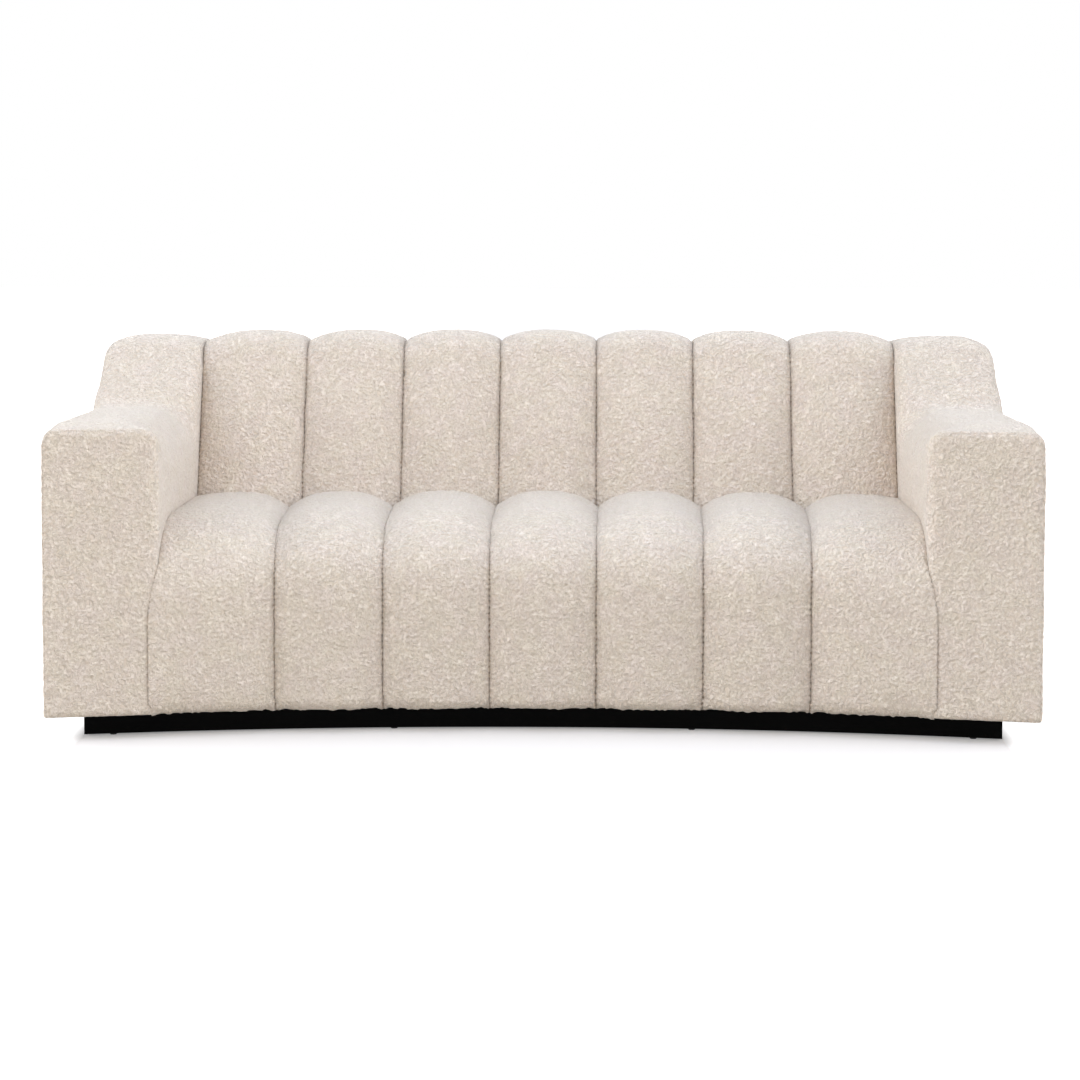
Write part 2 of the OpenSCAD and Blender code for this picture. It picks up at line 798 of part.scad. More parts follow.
// Black cloth under the whole frame, and under the fronts of the arms
module dust_cover() {
    x = outer_panel_x - soft_gap;
    rear = rear_t(plinth_top) - arm_rear_pad - soft_gap;
    color("dimgray") difference() {
        translate([0, 0, plinth_top]) linear_extrude(dust_t) {
            strip(-x, x, front_rail_t, rear);
            both() strip(inner_panel_x, x, arm_front_t + fit, rear);
        }
        both() screw_holes();
    }
}

module plinth_front() {
    color("black") board(
        -plinth_half, plinth_half, plinth_recess, plinth_recess + plinth_t, glide_h, plinth_top
    );
}

module plinth_rear() {
    color("black") board(
        -plinth_half, plinth_half, plinth_rear_t - plinth_t, plinth_rear_t, glide_h, plinth_top
    );
}

// Right end of the plinth, fitted between its front and its rear
module plinth_side() {
    color("black") board(
        plinth_half - plinth_t, plinth_half,
        plinth_recess + plinth_t, plinth_rear_t - plinth_t, glide_h, plinth_top
    );
}

module plinth_cross_braces() {
    color("peru") both()
        board(plinth_half / 3 - plinth_t / 2, plinth_half / 3 + plinth_t / 2,
            plinth_recess + plinth_t, plinth_rear_t - plinth_t,
            glide_h + plinth_block_drop, plinth_top);
}

module plinth_corner_blocks() {
    x1 = plinth_half - plinth_t;
    color("peru") both() for (t = screw_ts) difference() {
        board(x1 - plinth_block_w, x1, t - plinth_block_w / 2, t + plinth_block_w / 2,
            glide_h + plinth_block_drop, plinth_top);
        post(screw_x, t, glide_h - overrun, screw_z + screw_head_h,
            screw_head_d + fit, screw_head_d + fit);
        post(screw_x, t, screw_z, plinth_top + overrun, screw_d + fit, screw_d + fit);
    }
}

module plinth_screws() {
    color("silver") both() for (t = screw_ts) {
        post(screw_x, t, screw_z, screw_z + screw_head_h, screw_head_d, screw_head_d);
        post(screw_x, t, screw_z, frame_z + screw_sink, screw_d, screw_d);
    }
}

module floor_glides() {
    color("dimgray") for (s = glide_x_shares,
        t = [plinth_recess + plinth_t / 2, plinth_rear_t - plinth_t / 2])
        post(s * plinth_half, t, 0, glide_h, glide_base_d, glide_d);
}

seat_names = [for (k = [1 : channels]) str("seat_channel_", k)];
back_names = [for (k = [1 : channels]) str("back_channel_", k)];

plinth_front();
plinth_rear();
mirror([1, 0, 0]) plinth_side();  // plinth_left
plinth_side();  // plinth_right
plinth_cross_braces();
plinth_corner_blocks();
plinth_screws();
floor_glides();
dust_cover();
front_rail();
rear_rail();
mirror([1, 0, 0]) side_rail();  // left_side_rail
side_rail();  // right_side_rail
seat_stretchers();
seat_corner_blocks();
seat_springs();
spring_clips();
deck_cloth();
seat_foam_core();
back_ribs();
back_top_rail();
back_lower_rail();
back_base_rail();
horizontal_webbing();
vertical_webbing();
outside_back_board();
outside_back_cover();
mirror([1, 0, 0]) arm_inner_panel();  // left_arm_inner_panel
mirror([1, 0, 0]) arm_outer_panel();  // left_arm_outer_panel
mirror([1, 0, 0]) arm_front_board();  // left_arm_front_board
mirror([1, 0, 0]) arm_spacers();  // left_arm_spacers
mirror([1, 0, 0]) arm_upholstery();  // left_arm_upholstery
arm_inner_panel();  // right_arm_inner_panel
arm_outer_panel();  // right_arm_outer_panel
arm_front_board();  // right_arm_front_board
arm_spacers();  // right_arm_spacers
arm_upholstery();  // right_arm_upholstery
arm_bolts();
tee_nuts();
for (k = [1 : channels]) {
    seat_channel(k);
    back_channel(k);
}
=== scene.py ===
import json
import math

import bmesh
import bpy
import numpy as np
from mathutils import Matrix, Vector


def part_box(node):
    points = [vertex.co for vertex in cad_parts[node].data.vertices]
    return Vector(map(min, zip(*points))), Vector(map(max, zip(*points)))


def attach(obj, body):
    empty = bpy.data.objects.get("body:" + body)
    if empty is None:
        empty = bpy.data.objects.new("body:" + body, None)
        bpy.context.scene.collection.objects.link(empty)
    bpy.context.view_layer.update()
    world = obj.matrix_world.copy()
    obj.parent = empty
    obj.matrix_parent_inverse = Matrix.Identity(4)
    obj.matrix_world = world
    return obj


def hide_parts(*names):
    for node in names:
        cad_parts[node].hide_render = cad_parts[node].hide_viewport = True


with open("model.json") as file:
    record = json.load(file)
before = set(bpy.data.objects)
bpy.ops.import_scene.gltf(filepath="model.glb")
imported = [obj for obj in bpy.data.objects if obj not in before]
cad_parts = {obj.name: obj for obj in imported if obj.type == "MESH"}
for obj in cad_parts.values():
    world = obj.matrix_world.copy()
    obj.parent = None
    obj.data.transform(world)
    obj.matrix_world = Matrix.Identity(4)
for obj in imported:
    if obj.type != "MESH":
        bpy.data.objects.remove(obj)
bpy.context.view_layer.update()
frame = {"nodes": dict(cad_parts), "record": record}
NODES = frame["nodes"]
scene = bpy.context.scene

# Sizes of the solids, in mm, with the radii of the arms' edges and the shares of the crown beside an
# arm fitted more closely. A place is x along the sofa, t behind its front line and z above the
# floor; place() bends it into the arc of the plan.
MM = 0.001
SOFA_W, SOFA_D, SOFA_H, ARC_R = 2010, 1010, 800, 3980
CHANNELS = 7
SEAT_H, ROUND_D, ROUND_H, SEAT_LIP = 450, 200, 140, 24
SEAT_CROWN, SEAT_FRONT_CROWN, SEAT_PAD, SEAT_FRONT_PAD = 34, 28, 75, 60
BACK_CROWN, BACK_PAD, BACK_TOP_PAD = 22, 75, 78
BACK_TOP_D, FRONT_R, REAR_R, HOLLOW_R = 185, 70, 50, 5
LEAN, REAR_LEAN = math.radians(21), math.radians(5)
HOOK_Z, HOOK_CROWN, BACK_Z, CUSHION_Z = 690, 5, 375, 48
ARM_W, ARM_H, ARM_PROUD, LIP = 226, 633, 4, 10
ARM_FRONT_R, ARM_FRONT_INNER_R, ARM_FRONT_TOP_R = 15, 26, 15
ARM_TOP_R, ARM_TOP_INNER_R, END_R, END_RUN, SWEEP_INNER_R = 30, 34, 45, 75, 35
REAR_EDGE_R, REAR_SEAM_R, DIP_R, BEND_R = 30, 5, 90, 100
END_H, END_D, SWEEP_LEAD, END_CROWN, END_CROWN_W = 792, 165, 10, 14, 110
ARM_INNER_PAD, ARM_OUTER_PAD, ARM_FRONT_PAD, ARM_TOP_PAD = 25, 14, 30, 35
SWEEP_PAD, END_PAD, ARM_REAR_PAD = 35, 60, 13
GAP, CROWN_POWER, FAN, OUTER_SHARE = 0.4, 2.5, 0.045, 0.05
ARM_TOP_SHARE, ARM_FRONT_SHARE = 0.24, -0.2
COVER_T, BOARD_T, FIT = 8, 3, 0.3
CORE_Z, STRAP_T, STRAP_W, STRAP_TOP, RAIL_Z = 248.4, 1.6, 50, 721.6, 699.6
STRAP_ZS = [BACK_Z + s * (RAIL_Z - BACK_Z) - STRAP_W * math.cos(LEAN) / 2 for s in (0.12, 0.38, 0.64, 0.9)]

HALF_W = SOFA_W / 2
SEAT_HALF = HALF_W - ARM_W
CHANNEL_W = 2 * SEAT_HALF / (CHANNELS + 2 * OUTER_SHARE)
FRONT_MID_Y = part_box("seat_channel_4")[0].y / MM
BODY_D = SOFA_D / 2 - FRONT_MID_Y
SEAT_D = BODY_D - BACK_TOP_D - (SOFA_H - SEAT_H) * math.tan(LEAN)
SWEEP_T = SEAT_D - SWEEP_LEAD
FRAME_HALF = SEAT_HALF - GAP
SWEEP_ANGLE = math.atan((END_H - ARM_H) / (BODY_D - END_D - SWEEP_T))

# A place inside an arm's side view, from which the faces at its two sides fan out
ARM_HUB = (0.8 * BODY_D, 0.55 * ARM_H)

# Seams, in mm: how wide and deep a channel's edge dips into its seam, with the share of that dip on
# the seat's top, then the stitches' pitch, their pits and puckers, and how far the thread and its painted
# shade show.
# A seam strays sideways by layers of a height and a length.
CREASE_W, CREASE_D, ARM_CREASE_D, BACK_END_CREASE_D, TOP_SEAM = 11, 4.4, 3.2, 1.5, 0.1
STITCH, PIT_D, PIT_REACH, PUCKER, PUCKER_REACH, THREAD_AND_SHADE_REACH = 12.4, 3.0, 3.2, 0.8, 12, 2.1
STRAYS = ((1.1, 7.0), (0.7, 24.0))

# Fabric, in mm: height and size of its loops, its finest loops and its slow unevenness, and the
# height, size and reach of the tufts along a hem
LOOPS = ((0.65, 7.5), (0.6, 4.6), (0.9, 85.0))
TUFT_H, TUFT_SIZE, TUFT_REACH = 2.4, 6.0, 22

# Soft channels, in mm: swell of the back's, roll at the rear of the seat's, lip at the rear of the
# back's, and how far and wide a seat's hem drops beside a seam
BACK_SWELL, SEAT_ROLL, HOOK_LIP, HEM_DROP, HEM_DROP_W = 8, 14, 5, 4.5, 10

# Soft arms, in mm: how much each face puffs out, radius of the inner top edge, taper of the back's
# ends, and radius and depth of the seam round the front panel
SIDE_PUFF, INNER_PUFF, FRONT_PUFF, TOP_PUFF = 3.5, 4, 2.5, 9
SOFT_EDGE_R, END_TAPER, PANEL_R, GROOVE_D = 95, 6, 38.0, 0.7

# Ranges over which an arm's puffs and soft forms grow, in mm from its front, its rise, its outer
# side or its inner side
FRONT_GROWS, SEAM_GROWS, EDGE_GROWS, EDGE_ENDS = (30, 75), (25, 45), (15, 110), (0, 110)
TOP_GROWS, TOP_ENDS, TOP_FROM_SIDE, TOP_FROM_INNER, PAST_RISE = (0, 90), (0, 100), (0, 28), (0, 60), 60

# Size of the even mesh that an arm is smoothed on, in mm
ARM_MESH = 4.4

# Outside back, in mm: radius of its edges and how far it bows out
COVER_R, COVER_BOW = 6, 2.5

# Points of a channel across it, how closely they gather at its seams, points along its section,
# and rounds of smoothing where the seat's front flows into its round
ACROSS, ACROSS_IN, GATHER = 58, 9, 0.55
SEAT_STEPS, SEAT_STEPS_IN = (9, 58, 66, 84, 5), (1, 3, 6, 4)
BACK_STEPS, BACK_STEPS_IN = (84, 22, 14, 20, 14), (3, 3, 1, 3, 2)
EASE_ROUNDS, EASE_BEFORE, EASE_AFTER = 150, 12, 60

# How far the deck cloth reaches behind the seat, in mm, and the number of upright straps
DECK_REACH, VERTICAL_STRAPS = 30, 9

# Simulation of the channels' covers: frames, the most a point may move in mm, extra share of fabric
# and the size in mm of its unevenness, then the sheets' points across and their step along
SWELL_FRAMES, SWELL_MOST, FABRIC_SLACK, SLACK_SIZE = 16, 5.0, 0.03, 40.0
SHEET_ROWS, SHEET_STEP = 20, 3


def sag(x):
    return ARC_R - np.sqrt(ARC_R * ARC_R - x * x)


def front_y(x):
    return FRONT_MID_Y - sag(x)


# The camera of the photograph: focal length and shift in pixels of a picture 1080 wide, place in
# metres with its distance before the arms, and turns in degrees
PICTURE_PX, FOCAL_PX, SHIFT_PX = 1080, 2819.0, -117.7
CAMERA_X, CAMERA_Z, CAMERA_RANGE_MM = 0.1002, 1.0423, 5600
SENSOR_W = 36
yaw, pitch, roll = math.radians(1.06), math.radians(4.0), math.radians(0.103)
camera_data = bpy.data.cameras.new("camera")
camera = bpy.data.objects.new("camera", camera_data)
scene.collection.objects.link(camera)
scene.camera = camera
camera_data.sensor_width = SENSOR_W
camera_data.lens = FOCAL_PX / PICTURE_PX * SENSOR_W
camera_data.shift_y = SHIFT_PX / PICTURE_PX
arm_front_y = front_y(HALF_W) - ARM_PROUD
camera.location = (CAMERA_X, (arm_front_y - CAMERA_RANGE_MM) * MM, CAMERA_Z)
forward = np.array([-math.sin(yaw) * math.cos(pitch), math.cos(yaw) * math.cos(pitch), -math.sin(pitch)])
right = np.array([math.cos(yaw), math.sin(yaw), 0])
up = np.cross(right, forward)
right, up = right * math.cos(roll) + up * math.sin(roll), up * math.cos(roll) - right * math.sin(roll)
camera.rotation_euler = Matrix((right, up, -forward)).transposed().to_euler()


def place(x, t, z):
    x, t, z = np.broadcast_arrays(x, t, z)
    return np.stack([x, front_y(x) + t, z], -1)


def oval_in(d, run, r):
    return r * (1 - np.sqrt(1 - np.clip(1 - d / run, 0, 1) ** 2))


def round_in(d, r):
    return oval_in(d, r, r)


def face_t(z, q):
    return SEAT_D + (z - SEAT_H) * math.tan(LEAN) + q / math.cos(LEAN)


def rear_t(z):
    return BODY_D - (SOFA_H - REAR_R - z) * math.tan(REAR_LEAN)


def smooth(x, a, b):
    s = np.clip((x - a) / (b - a), 0, 1)
    return s * s * (3 - 2 * s)


def lattice(i, seed):
    h = (i[..., 0] * 374761393 + i[..., 1] * 668265263 + i[..., 2] * 1442695041 + seed * 97531) & 0xFFFFFFFF
    h = ((h ^ (h >> 13)) * 1274126177) & 0xFFFFFFFF
    h = ((h ^ (h >> 16)) * 2246822519) & 0xFFFFFFFF
    return ((h ^ (h >> 15)) & 0xFFFF) / 32767.5 - 1


def noise(p, size, seed):
    """Smooth value noise from -1 to 1 at points in mm, with features of a size in mm."""
    q = p / size + 1000
    base = np.floor(q).astype(np.int64)
    f = q - base
    f = f * f * (3 - 2 * f)
    total = 0
    for dx in (0, 1):
        for dy in (0, 1):
            for dz in (0, 1):
                corner = lattice(base + np.array([dx, dy, dz]), seed)
                share = (
                    (f[..., 0] if dx else 1 - f[..., 0])
                    * (f[..., 1] if dy else 1 - f[..., 1])
                    * (f[..., 2] if dz else 1 - f[..., 2])
                )
                total = total + corner * share
    return total


def layered(p, layers, seed):
    """Sum of layers of noise, each with a height and a size of its features."""
    return sum(height * noise(p, size, seed + i) for i, (height, size) in enumerate(layers))


def loops(p, seed):
    """Height of the fabric's loops over its ground, in mm."""
    return layered(p, LOOPS, seed)


def tufts(p, seed):
    """Loops that stand out along a hem, in mm."""
    near_hem = 1 - smooth(p[..., 2], CUSHION_Z + 4, CUSHION_Z + TUFT_REACH)
    return TUFT_H * np.maximum(noise(p, TUFT_SIZE, seed), -0.3) * near_hem


def new_object(name, points_mm, faces, material, smooth_faces=None):
    mesh = bpy.data.meshes.new(name)
    mesh.from_pydata((points_mm * MM).tolist(), [], faces)
    mesh.polygons.foreach_set(
        "use_smooth", np.ones(len(faces), bool) if smooth_faces is None else smooth_faces
    )
    mesh.materials.append(material)
    mesh.update()
    obj = bpy.data.objects.new(name, mesh)
    scene.collection.objects.link(obj)
    return obj


def outward(obj):
    work = bmesh.new()
    work.from_mesh(obj.data)
    bmesh.ops.recalc_face_normals(work, faces=work.faces)
    work.to_mesh(obj.data)
    work.free()
    obj.data.update()


def grid_faces(start, rows, columns, flip=False):
    a = (start + np.arange(rows - 1)[:, None] * columns + np.arange(columns - 1)[None, :]).ravel()
    quads = np.stack([a, a + columns, a + columns + 1, a + 1], 1)
    return quads[:, ::-1].tolist() if flip else quads.tolist()


def zipped(a, b, points):
    """Triangles between two lines of point numbers that run side by side."""
    def shares(line):
        steps = np.linalg.norm(np.diff(points[line], axis=0), axis=1)
        along = np.concatenate([[0], np.cumsum(steps)])
        return along / along[-1]

    sa, sb = shares(a), shares(b)
    i = j = 0
    made = []
    while i < len(a) - 1 or j < len(b) - 1:
        if j == len(b) - 1 or (i < len(a) - 1 and sa[i + 1] <= sb[j + 1]):
            made.append((a[i], a[i + 1], b[j]))
            i += 1
        else:
            made.append((a[i], b[j + 1], b[j]))
            j += 1
    return [[int(v) for v in face] for face in made]


def padded_shell(name, outer, inner, material):
    """A closed padded piece: a fine outer grid, a coarse inner one, and walls between them."""
    points = np.concatenate([outer.reshape(-1, 3), inner.reshape(-1, 3)])
    rows, columns = outer.shape[:2]
    first = rows * columns
    rows_in, columns_in = inner.shape[:2]
    out_ids = np.arange(first).reshape(rows, columns)
    in_ids = first + np.arange(rows_in * columns_in).reshape(rows_in, columns_in)
    shown = grid_faces(0, rows, columns)
    walls = grid_faces(first, rows_in, columns_in, flip=True)
    for a, b in (
        (out_ids[0], in_ids[0]),
        (out_ids[-1], in_ids[-1]),
        (out_ids[:, 0], in_ids[:, 0]),
        (out_ids[:, -1], in_ids[:, -1]),
    ):
        walls += zipped(a, b, points)
    flags = np.array([True] * len(shown) + [False] * len(walls))
    obj = new_object(name, points, shown + walls, material, flags)
    outward(obj)
    return obj


def normals(grid):
    du = np.gradient(grid, axis=0)
    dq = np.gradient(grid, axis=1)
    n = np.cross(du, dq)
    return n / np.maximum(np.linalg.norm(n, axis=-1, keepdims=True), 1e-9)


def oval(ct, cz, rt, rz, start, end, count):
    """Points of a quarter of an oval in a section, without its last one."""
    w = np.radians(np.linspace(start, end, count, endpoint=False))[None, :]
    return ct + rt * np.cos(w), cz + rz * np.sin(w)


def line(t0, z0, t1, z1, count):
    s = np.linspace(0, 1, count, endpoint=False)[None, :]
    return t0 + (t1 - t0) * s, z0 + (z1 - z0) * s


def across(count, gather):
    """Places from -1 to 1, closer together near both seams."""
    v = np.linspace(-1, 1, count)
    return v + gather * np.sin(math.pi * v) / math.pi


def seam_x(k, fan, t):
    if k in (0, CHANNELS):
        outer = SEAT_HALF + round_in(t + ARM_PROUD + 0.1, ARM_FRONT_INNER_R)
        return outer if k else -outer
    return (k - CHANNELS / 2) * CHANNEL_W * (1 + fan * t / SEAT_D)


def wander(seam, t, z):
    """How far a seam between two channels strays sideways from its straight line, in mm."""
    if seam in (0, CHANNELS):
        return 0
    at = np.stack(np.broadcast_arrays(t, z, 50.0 * seam), -1)
    return layered(at, STRAYS, 61)


def across_x(k, u, fan, t, z=SEAT_H):
    t = np.where(z < CUSHION_Z + SEAT_LIP, np.minimum(t, -ARM_PROUD / 2), t)
    a, b = seam_x(k - 1, fan, t), seam_x(k, fan, t)
    stray = np.where(u < 0, wander(k - 1, t, z), wander(k, t, z)) * smooth(np.abs(u), 0.8, 1)
    return (a + b) / 2 + u * (b - a) / 2 + stray


def beside_arm(k, u):
    """True on the half of an outer channel that lies against an arm."""
    return ((k == 1) & (u < 0)) | ((k == CHANNELS) & (u > 0))


def crease(k, u, arm_depth):
    """How far a channel's surface dips towards its two seams, in mm."""
    to_seam = (1 - np.abs(u)) * CHANNEL_W / 2
    return np.where(beside_arm(k, u), arm_depth, CREASE_D) * np.clip(1 - to_seam / CREASE_W, 0, 1) ** 2


def fall(k, u, side_share):
    """Share of a channel's crown that its surface has lost at a place across it."""
    return np.where(beside_arm(k, u), side_share, 1) * np.abs(u) ** CROWN_POWER


def stitched(grid, k, seed, fade_ends):
    """Adds what the sewing and the fabric do to a channel, and says where the thread and the painted shade
    in the seam's pits show.
    """
    n = normals(grid)
    steps = np.linalg.norm(np.diff(grid, axis=1), axis=-1)
    along = np.concatenate([np.zeros((len(grid), 1)), np.cumsum(steps, axis=1)], axis=1)
    middle = along[len(along) // 2]
    width = np.linalg.norm(np.diff(grid, axis=0), axis=-1)
    from_left = np.concatenate([np.zeros((1, grid.shape[1])), np.cumsum(width, axis=0)])
    dist = np.minimum(from_left, from_left[-1:] - from_left)
    left = from_left < from_left[-1:] / 2
    phase = np.where(left, k * 1.7, (k + 1) * 1.7)
    wobble = 0.6 * noise(np.stack([along, phase * 40, along * 0], -1), 30, seed + 5)
    wave = np.cos(2 * math.pi * middle[None, :] / STITCH + phase + wobble)
    pull = smooth(wave, 0.2, 0.95)
    up = np.clip(n[..., 2], 0, 1) ** 2
    pits = -PIT_D * (1 - 0.6 * up) * pull * np.exp(-((dist / PIT_REACH) ** 2))
    puckers = -PUCKER * wave * np.exp(-dist / PUCKER_REACH) * smooth(dist, 2, 6)
    still = smooth(dist, 0.2, 2.0)
    ends = smooth(middle, -1, fade_ends)[None, :] * smooth(middle[-1] - middle, 0, 6)[None, :]
    # Painted shade: the thread's dark colour also stands in for the shade in the seam's pits, and it fades
    # on faces that look up, where the light falls.
    upright = 1 - 0.92 * smooth(n[..., 2], 0.25, 0.7)
    thread_and_shade = np.exp(-((dist / THREAD_AND_SHADE_REACH) ** 2)) * (0.05 + 0.95 * pull) * upright
    n = n * np.stack([smooth(dist, 0, 4), np.ones_like(dist), np.ones_like(dist)], -1)
    nap = still * loops(grid, seed) + smooth(dist, 0, 1.5) * tufts(grid, seed + 7)
    return grid + n * ((pits + puckers + nap) * ends)[..., None], thread_and_shade


def sewn(obj, thread_and_shade):
    """Keeps, on each point of a piece, how much of the seam's thread and of its painted shade shows there.
    """
    shares = np.zeros(len(obj.data.vertices), np.float32)
    shares[:thread_and_shade.size] = thread_and_shade.ravel()
    attribute = obj.data.attributes.new("thread_and_shade", "FLOAT", "POINT")
    attribute.data.foreach_set("value", shares)
    return obj


def joined(parts, rows):
    """The places of all the points of a section in parts, for each row across a channel."""
    return [np.concatenate([np.broadcast_to(p[i], (rows, p[i].shape[1])) for p in parts], 1) for i in (0, 1)]


def seat_section(front_in, top_in, lip, roll, steps):
    """Section of the seat from its hem up its front and over its top to the back."""
    parts = [
        oval(front_in + lip, CUSHION_Z + lip, lip, lip, 270, 180, steps[0]),
        line(front_in, CUSHION_Z + lip, front_in, SEAT_H - ROUND_H, steps[1]),
        oval(ROUND_D, SEAT_H - ROUND_H, ROUND_D - front_in, ROUND_H - top_in, 180, 90, steps[2]),
    ]
    end_t = face_t(SEAT_H - top_in, -GAP)
    parts.append(line(ROUND_D, SEAT_H - top_in, end_t - roll, SEAT_H - top_in, steps[3]))
    if roll:
        parts.append(oval(end_t - roll, SEAT_H - top_in - roll, roll, roll, 90, 0, steps[4]))
    parts.append((end_t + 0 * front_in, SEAT_H - top_in - roll + 0 * front_in))
    t, z = joined(parts, len(front_in))
    return eased(t, z, steps) if roll else (t, z)


def eased(t, z, steps):
    """A seat section whose front face flows into its round without a sudden bend."""
    first, bend, last = steps[0] + 2, steps[0] + steps[1], sum(steps[:4]) - 2
    at = np.arange(t.shape[1])
    share = smooth(at, first, bend - EASE_BEFORE) * smooth(at[::-1], t.shape[1] - last, EASE_AFTER)
    soft = [t.copy(), z.copy()]
    for line_in in soft:
        for _ in range(EASE_ROUNDS):
            line_in[:, first:last] = (
                line_in[:, first - 1:last - 1] + 2 * line_in[:, first:last] + line_in[:, first + 1:last + 1]
            ) / 4
    return t + (soft[0] - t) * share, z + (soft[1] - z) * share


def seat_form(k):
    """The outer and the inner grid of a seat channel."""
    u = across(ACROSS, GATHER)[:, None]
    half = CHANNEL_W / 2
    dip = crease(k, u, ARM_CREASE_D)
    front_in = SEAT_FRONT_CROWN * fall(k, u, ARM_FRONT_SHARE) + dip
    top_in = SEAT_CROWN * fall(k, u, ARM_TOP_SHARE) + TOP_SEAM * dip
    t, z = seat_section(front_in, top_in, SEAT_LIP, SEAT_ROLL, SEAT_STEPS)
    seam_near = np.exp(-(((1 - np.abs(u)) * half / HEM_DROP_W) ** 2))
    low = 1 - smooth(z, CUSHION_Z, CUSHION_Z + 60)
    z = z - HEM_DROP * seam_near * low
    outer = place(across_x(k, u, FAN, t, z), t, z)
    v = np.linspace(-1, 1, ACROSS_IN)[:, None]
    base = np.zeros_like(v)
    t, z = seat_section(base + SEAT_FRONT_PAD, base + SEAT_PAD, 0.01, 0, SEAT_STEPS_IN)
    return outer, place(across_x(k, v, FAN, t), t, z)


def back_section(face_in, top_in, rear_in, radii, tuck, steps):
    """Section of the back from its foot up its face and over its top to the hook at its rear."""
    front_r, rear_r = radii
    top = SOFA_H - top_in
    front_t = face_t(top - front_r, face_in + front_r)
    rear_c = rear_t(top - rear_r) - rear_in - rear_r / math.cos(REAR_LEAN)
    lean, rear_lean = math.degrees(LEAN), math.degrees(REAR_LEAN)
    parts = [
        line(face_t(BACK_Z, face_in), BACK_Z, face_t(top - front_r, face_in), top - front_r, steps[0]),
        oval(front_t, top - front_r, front_r, front_r, 180 - lean, 90, steps[1]),
        line(front_t, top, rear_c, top, steps[2]),
        oval(rear_c, top - rear_r, rear_r, rear_r, 90, -rear_lean, steps[3]),
        line(rear_t(top - rear_r) - rear_in, top - rear_r,
             rear_t(HOOK_Z + HOOK_LIP) - rear_in, HOOK_Z + HOOK_LIP, steps[4]),
    ]
    parts.append((rear_t(HOOK_Z) - rear_in - tuck + 0 * face_in, HOOK_Z + 0 * face_in))
    return joined(parts, len(face_in))


def back_form(k):
    """The outer and the inner grid of a back channel."""
    u = across(ACROSS, GATHER)[:, None]
    dip = crease(k, u, BACK_END_CREASE_D)
    share = fall(k, u, 1)
    inset = BACK_CROWN * share + dip
    rear_in = HOOK_CROWN * share + dip
    t, z = back_section(inset, inset, rear_in, (FRONT_R, REAR_R), HOOK_LIP, BACK_STEPS)
    on_face = t < face_t(z, BACK_CROWN + 2 * CREASE_D)
    bulge = np.sin(math.pi * np.clip((z - SEAT_H) / (SOFA_H - 25 - SEAT_H), 0, 1)) ** 1.5
    t = t - BACK_SWELL * bulge * on_face * (1 - np.abs(u) ** 6)
    outer = place(across_x(k, u, 0, t), t, z)
    v = np.linspace(-1, 1, ACROSS_IN)[:, None]
    base = np.zeros_like(v)
    rear_in = base + COVER_T + BOARD_T + FIT
    radii = (HOLLOW_R, HOLLOW_R)
    t, z = back_section(base + BACK_PAD, base + BACK_TOP_PAD, rear_in, radii, 0, BACK_STEPS_IN)
    return outer, place(across_x(k, v, 0, t), t, z)


def picked(count, about):
    """Numbers of some rows of a grid, the first and the last among them."""
    return np.unique(np.round(np.linspace(0, count - 1, about)).astype(int))


def spread(values, rows, columns, shape):
    """Values known at picked rows and columns, carried softly to every point of a grid."""
    for axis, picks in ((0, rows), (1, columns)):
        values = np.moveaxis(values, axis, 0)
        at = np.arange(shape[axis])
        low = np.clip(np.searchsorted(picks, at, "right") - 1, 0, len(picks) - 2)
        share = ((at - picks[low]) / (picks[low + 1] - picks[low]))[:, None, None]
        values = values[low] * (1 - share) + values[low + 1] * share
        for _ in range(4):
            values[1:-1] = (values[:-2] + 2 * values[1:-1] + values[2:]) / 4
        values = np.moveaxis(values, 0, axis)
    return values


def cloth_swell(sheets):
    """Simulates sheets of cloth, sewn down along their edges, that air pressure swells.

    Returns how far each point moves, in mm, at most about SWELL_MOST.
    """
    start = np.concatenate([sheet.reshape(-1, 3) for sheet in sheets])
    faces, sewn_down, first = [], [], 0
    for sheet in sheets:
        rows, columns = sheet.shape[:2]
        ids = first + np.arange(rows * columns).reshape(rows, columns)
        faces += grid_faces(first, rows, columns)
        sewn_down += [*ids[0], *ids[-1], *ids[:, 0], *ids[:, -1]]
        first += rows * columns
    obj = new_object("swelling_sheets", start, faces, boucle)
    obj.vertex_groups.new(name="sewn").add([int(i) for i in set(sewn_down)], 1.0, "REPLACE")
    slack = obj.vertex_groups.new(name="slack")
    for i, share in enumerate(0.5 + 0.5 * noise(start, SLACK_SIZE, 71)):
        slack.add([i], float(share), "REPLACE")
    settings = obj.modifiers.new("cloth", "CLOTH").settings
    settings.quality = 4
    settings.vertex_group_mass = "sewn"
    settings.vertex_group_shrink = "slack"
    settings.shrink_min, settings.shrink_max = 0.0, -FABRIC_SLACK
    settings.use_pressure = True
    settings.uniform_pressure_force = 4
    settings.effector_weights.gravity = 0
    for number in range(1, SWELL_FRAMES + 1):
        scene.frame_set(number)
    move = coordinates(applied(obj).data) - start
    scene.frame_set(1)
    bpy.data.objects.remove(obj)
    far = np.linalg.norm(move, axis=1, keepdims=True)
    move *= SWELL_MOST * np.tanh(far / SWELL_MOST) / np.maximum(far, 1e-6)
    ends = np.cumsum([sheet.shape[0] * sheet.shape[1] for sheet in sheets])[:-1]
    return [part.reshape(sheet.shape) for part, sheet in zip(np.split(move, ends), sheets)]


def swollen(forms):
    """The forms of like channels with the simulated swell, less the part that all of them share.

    That part is already in the crowns of the forms.
    """
    shape = forms[0].shape
    rows, columns = picked(shape[0], SHEET_ROWS), picked(shape[1], shape[1] // SHEET_STEP + 1)
    moves = cloth_swell([form[np.ix_(rows, columns)] for form in forms])
    shared = np.median(moves, axis=0)
    return [form + spread(move - shared, rows, columns, shape) for form, move in zip(forms, moves)]


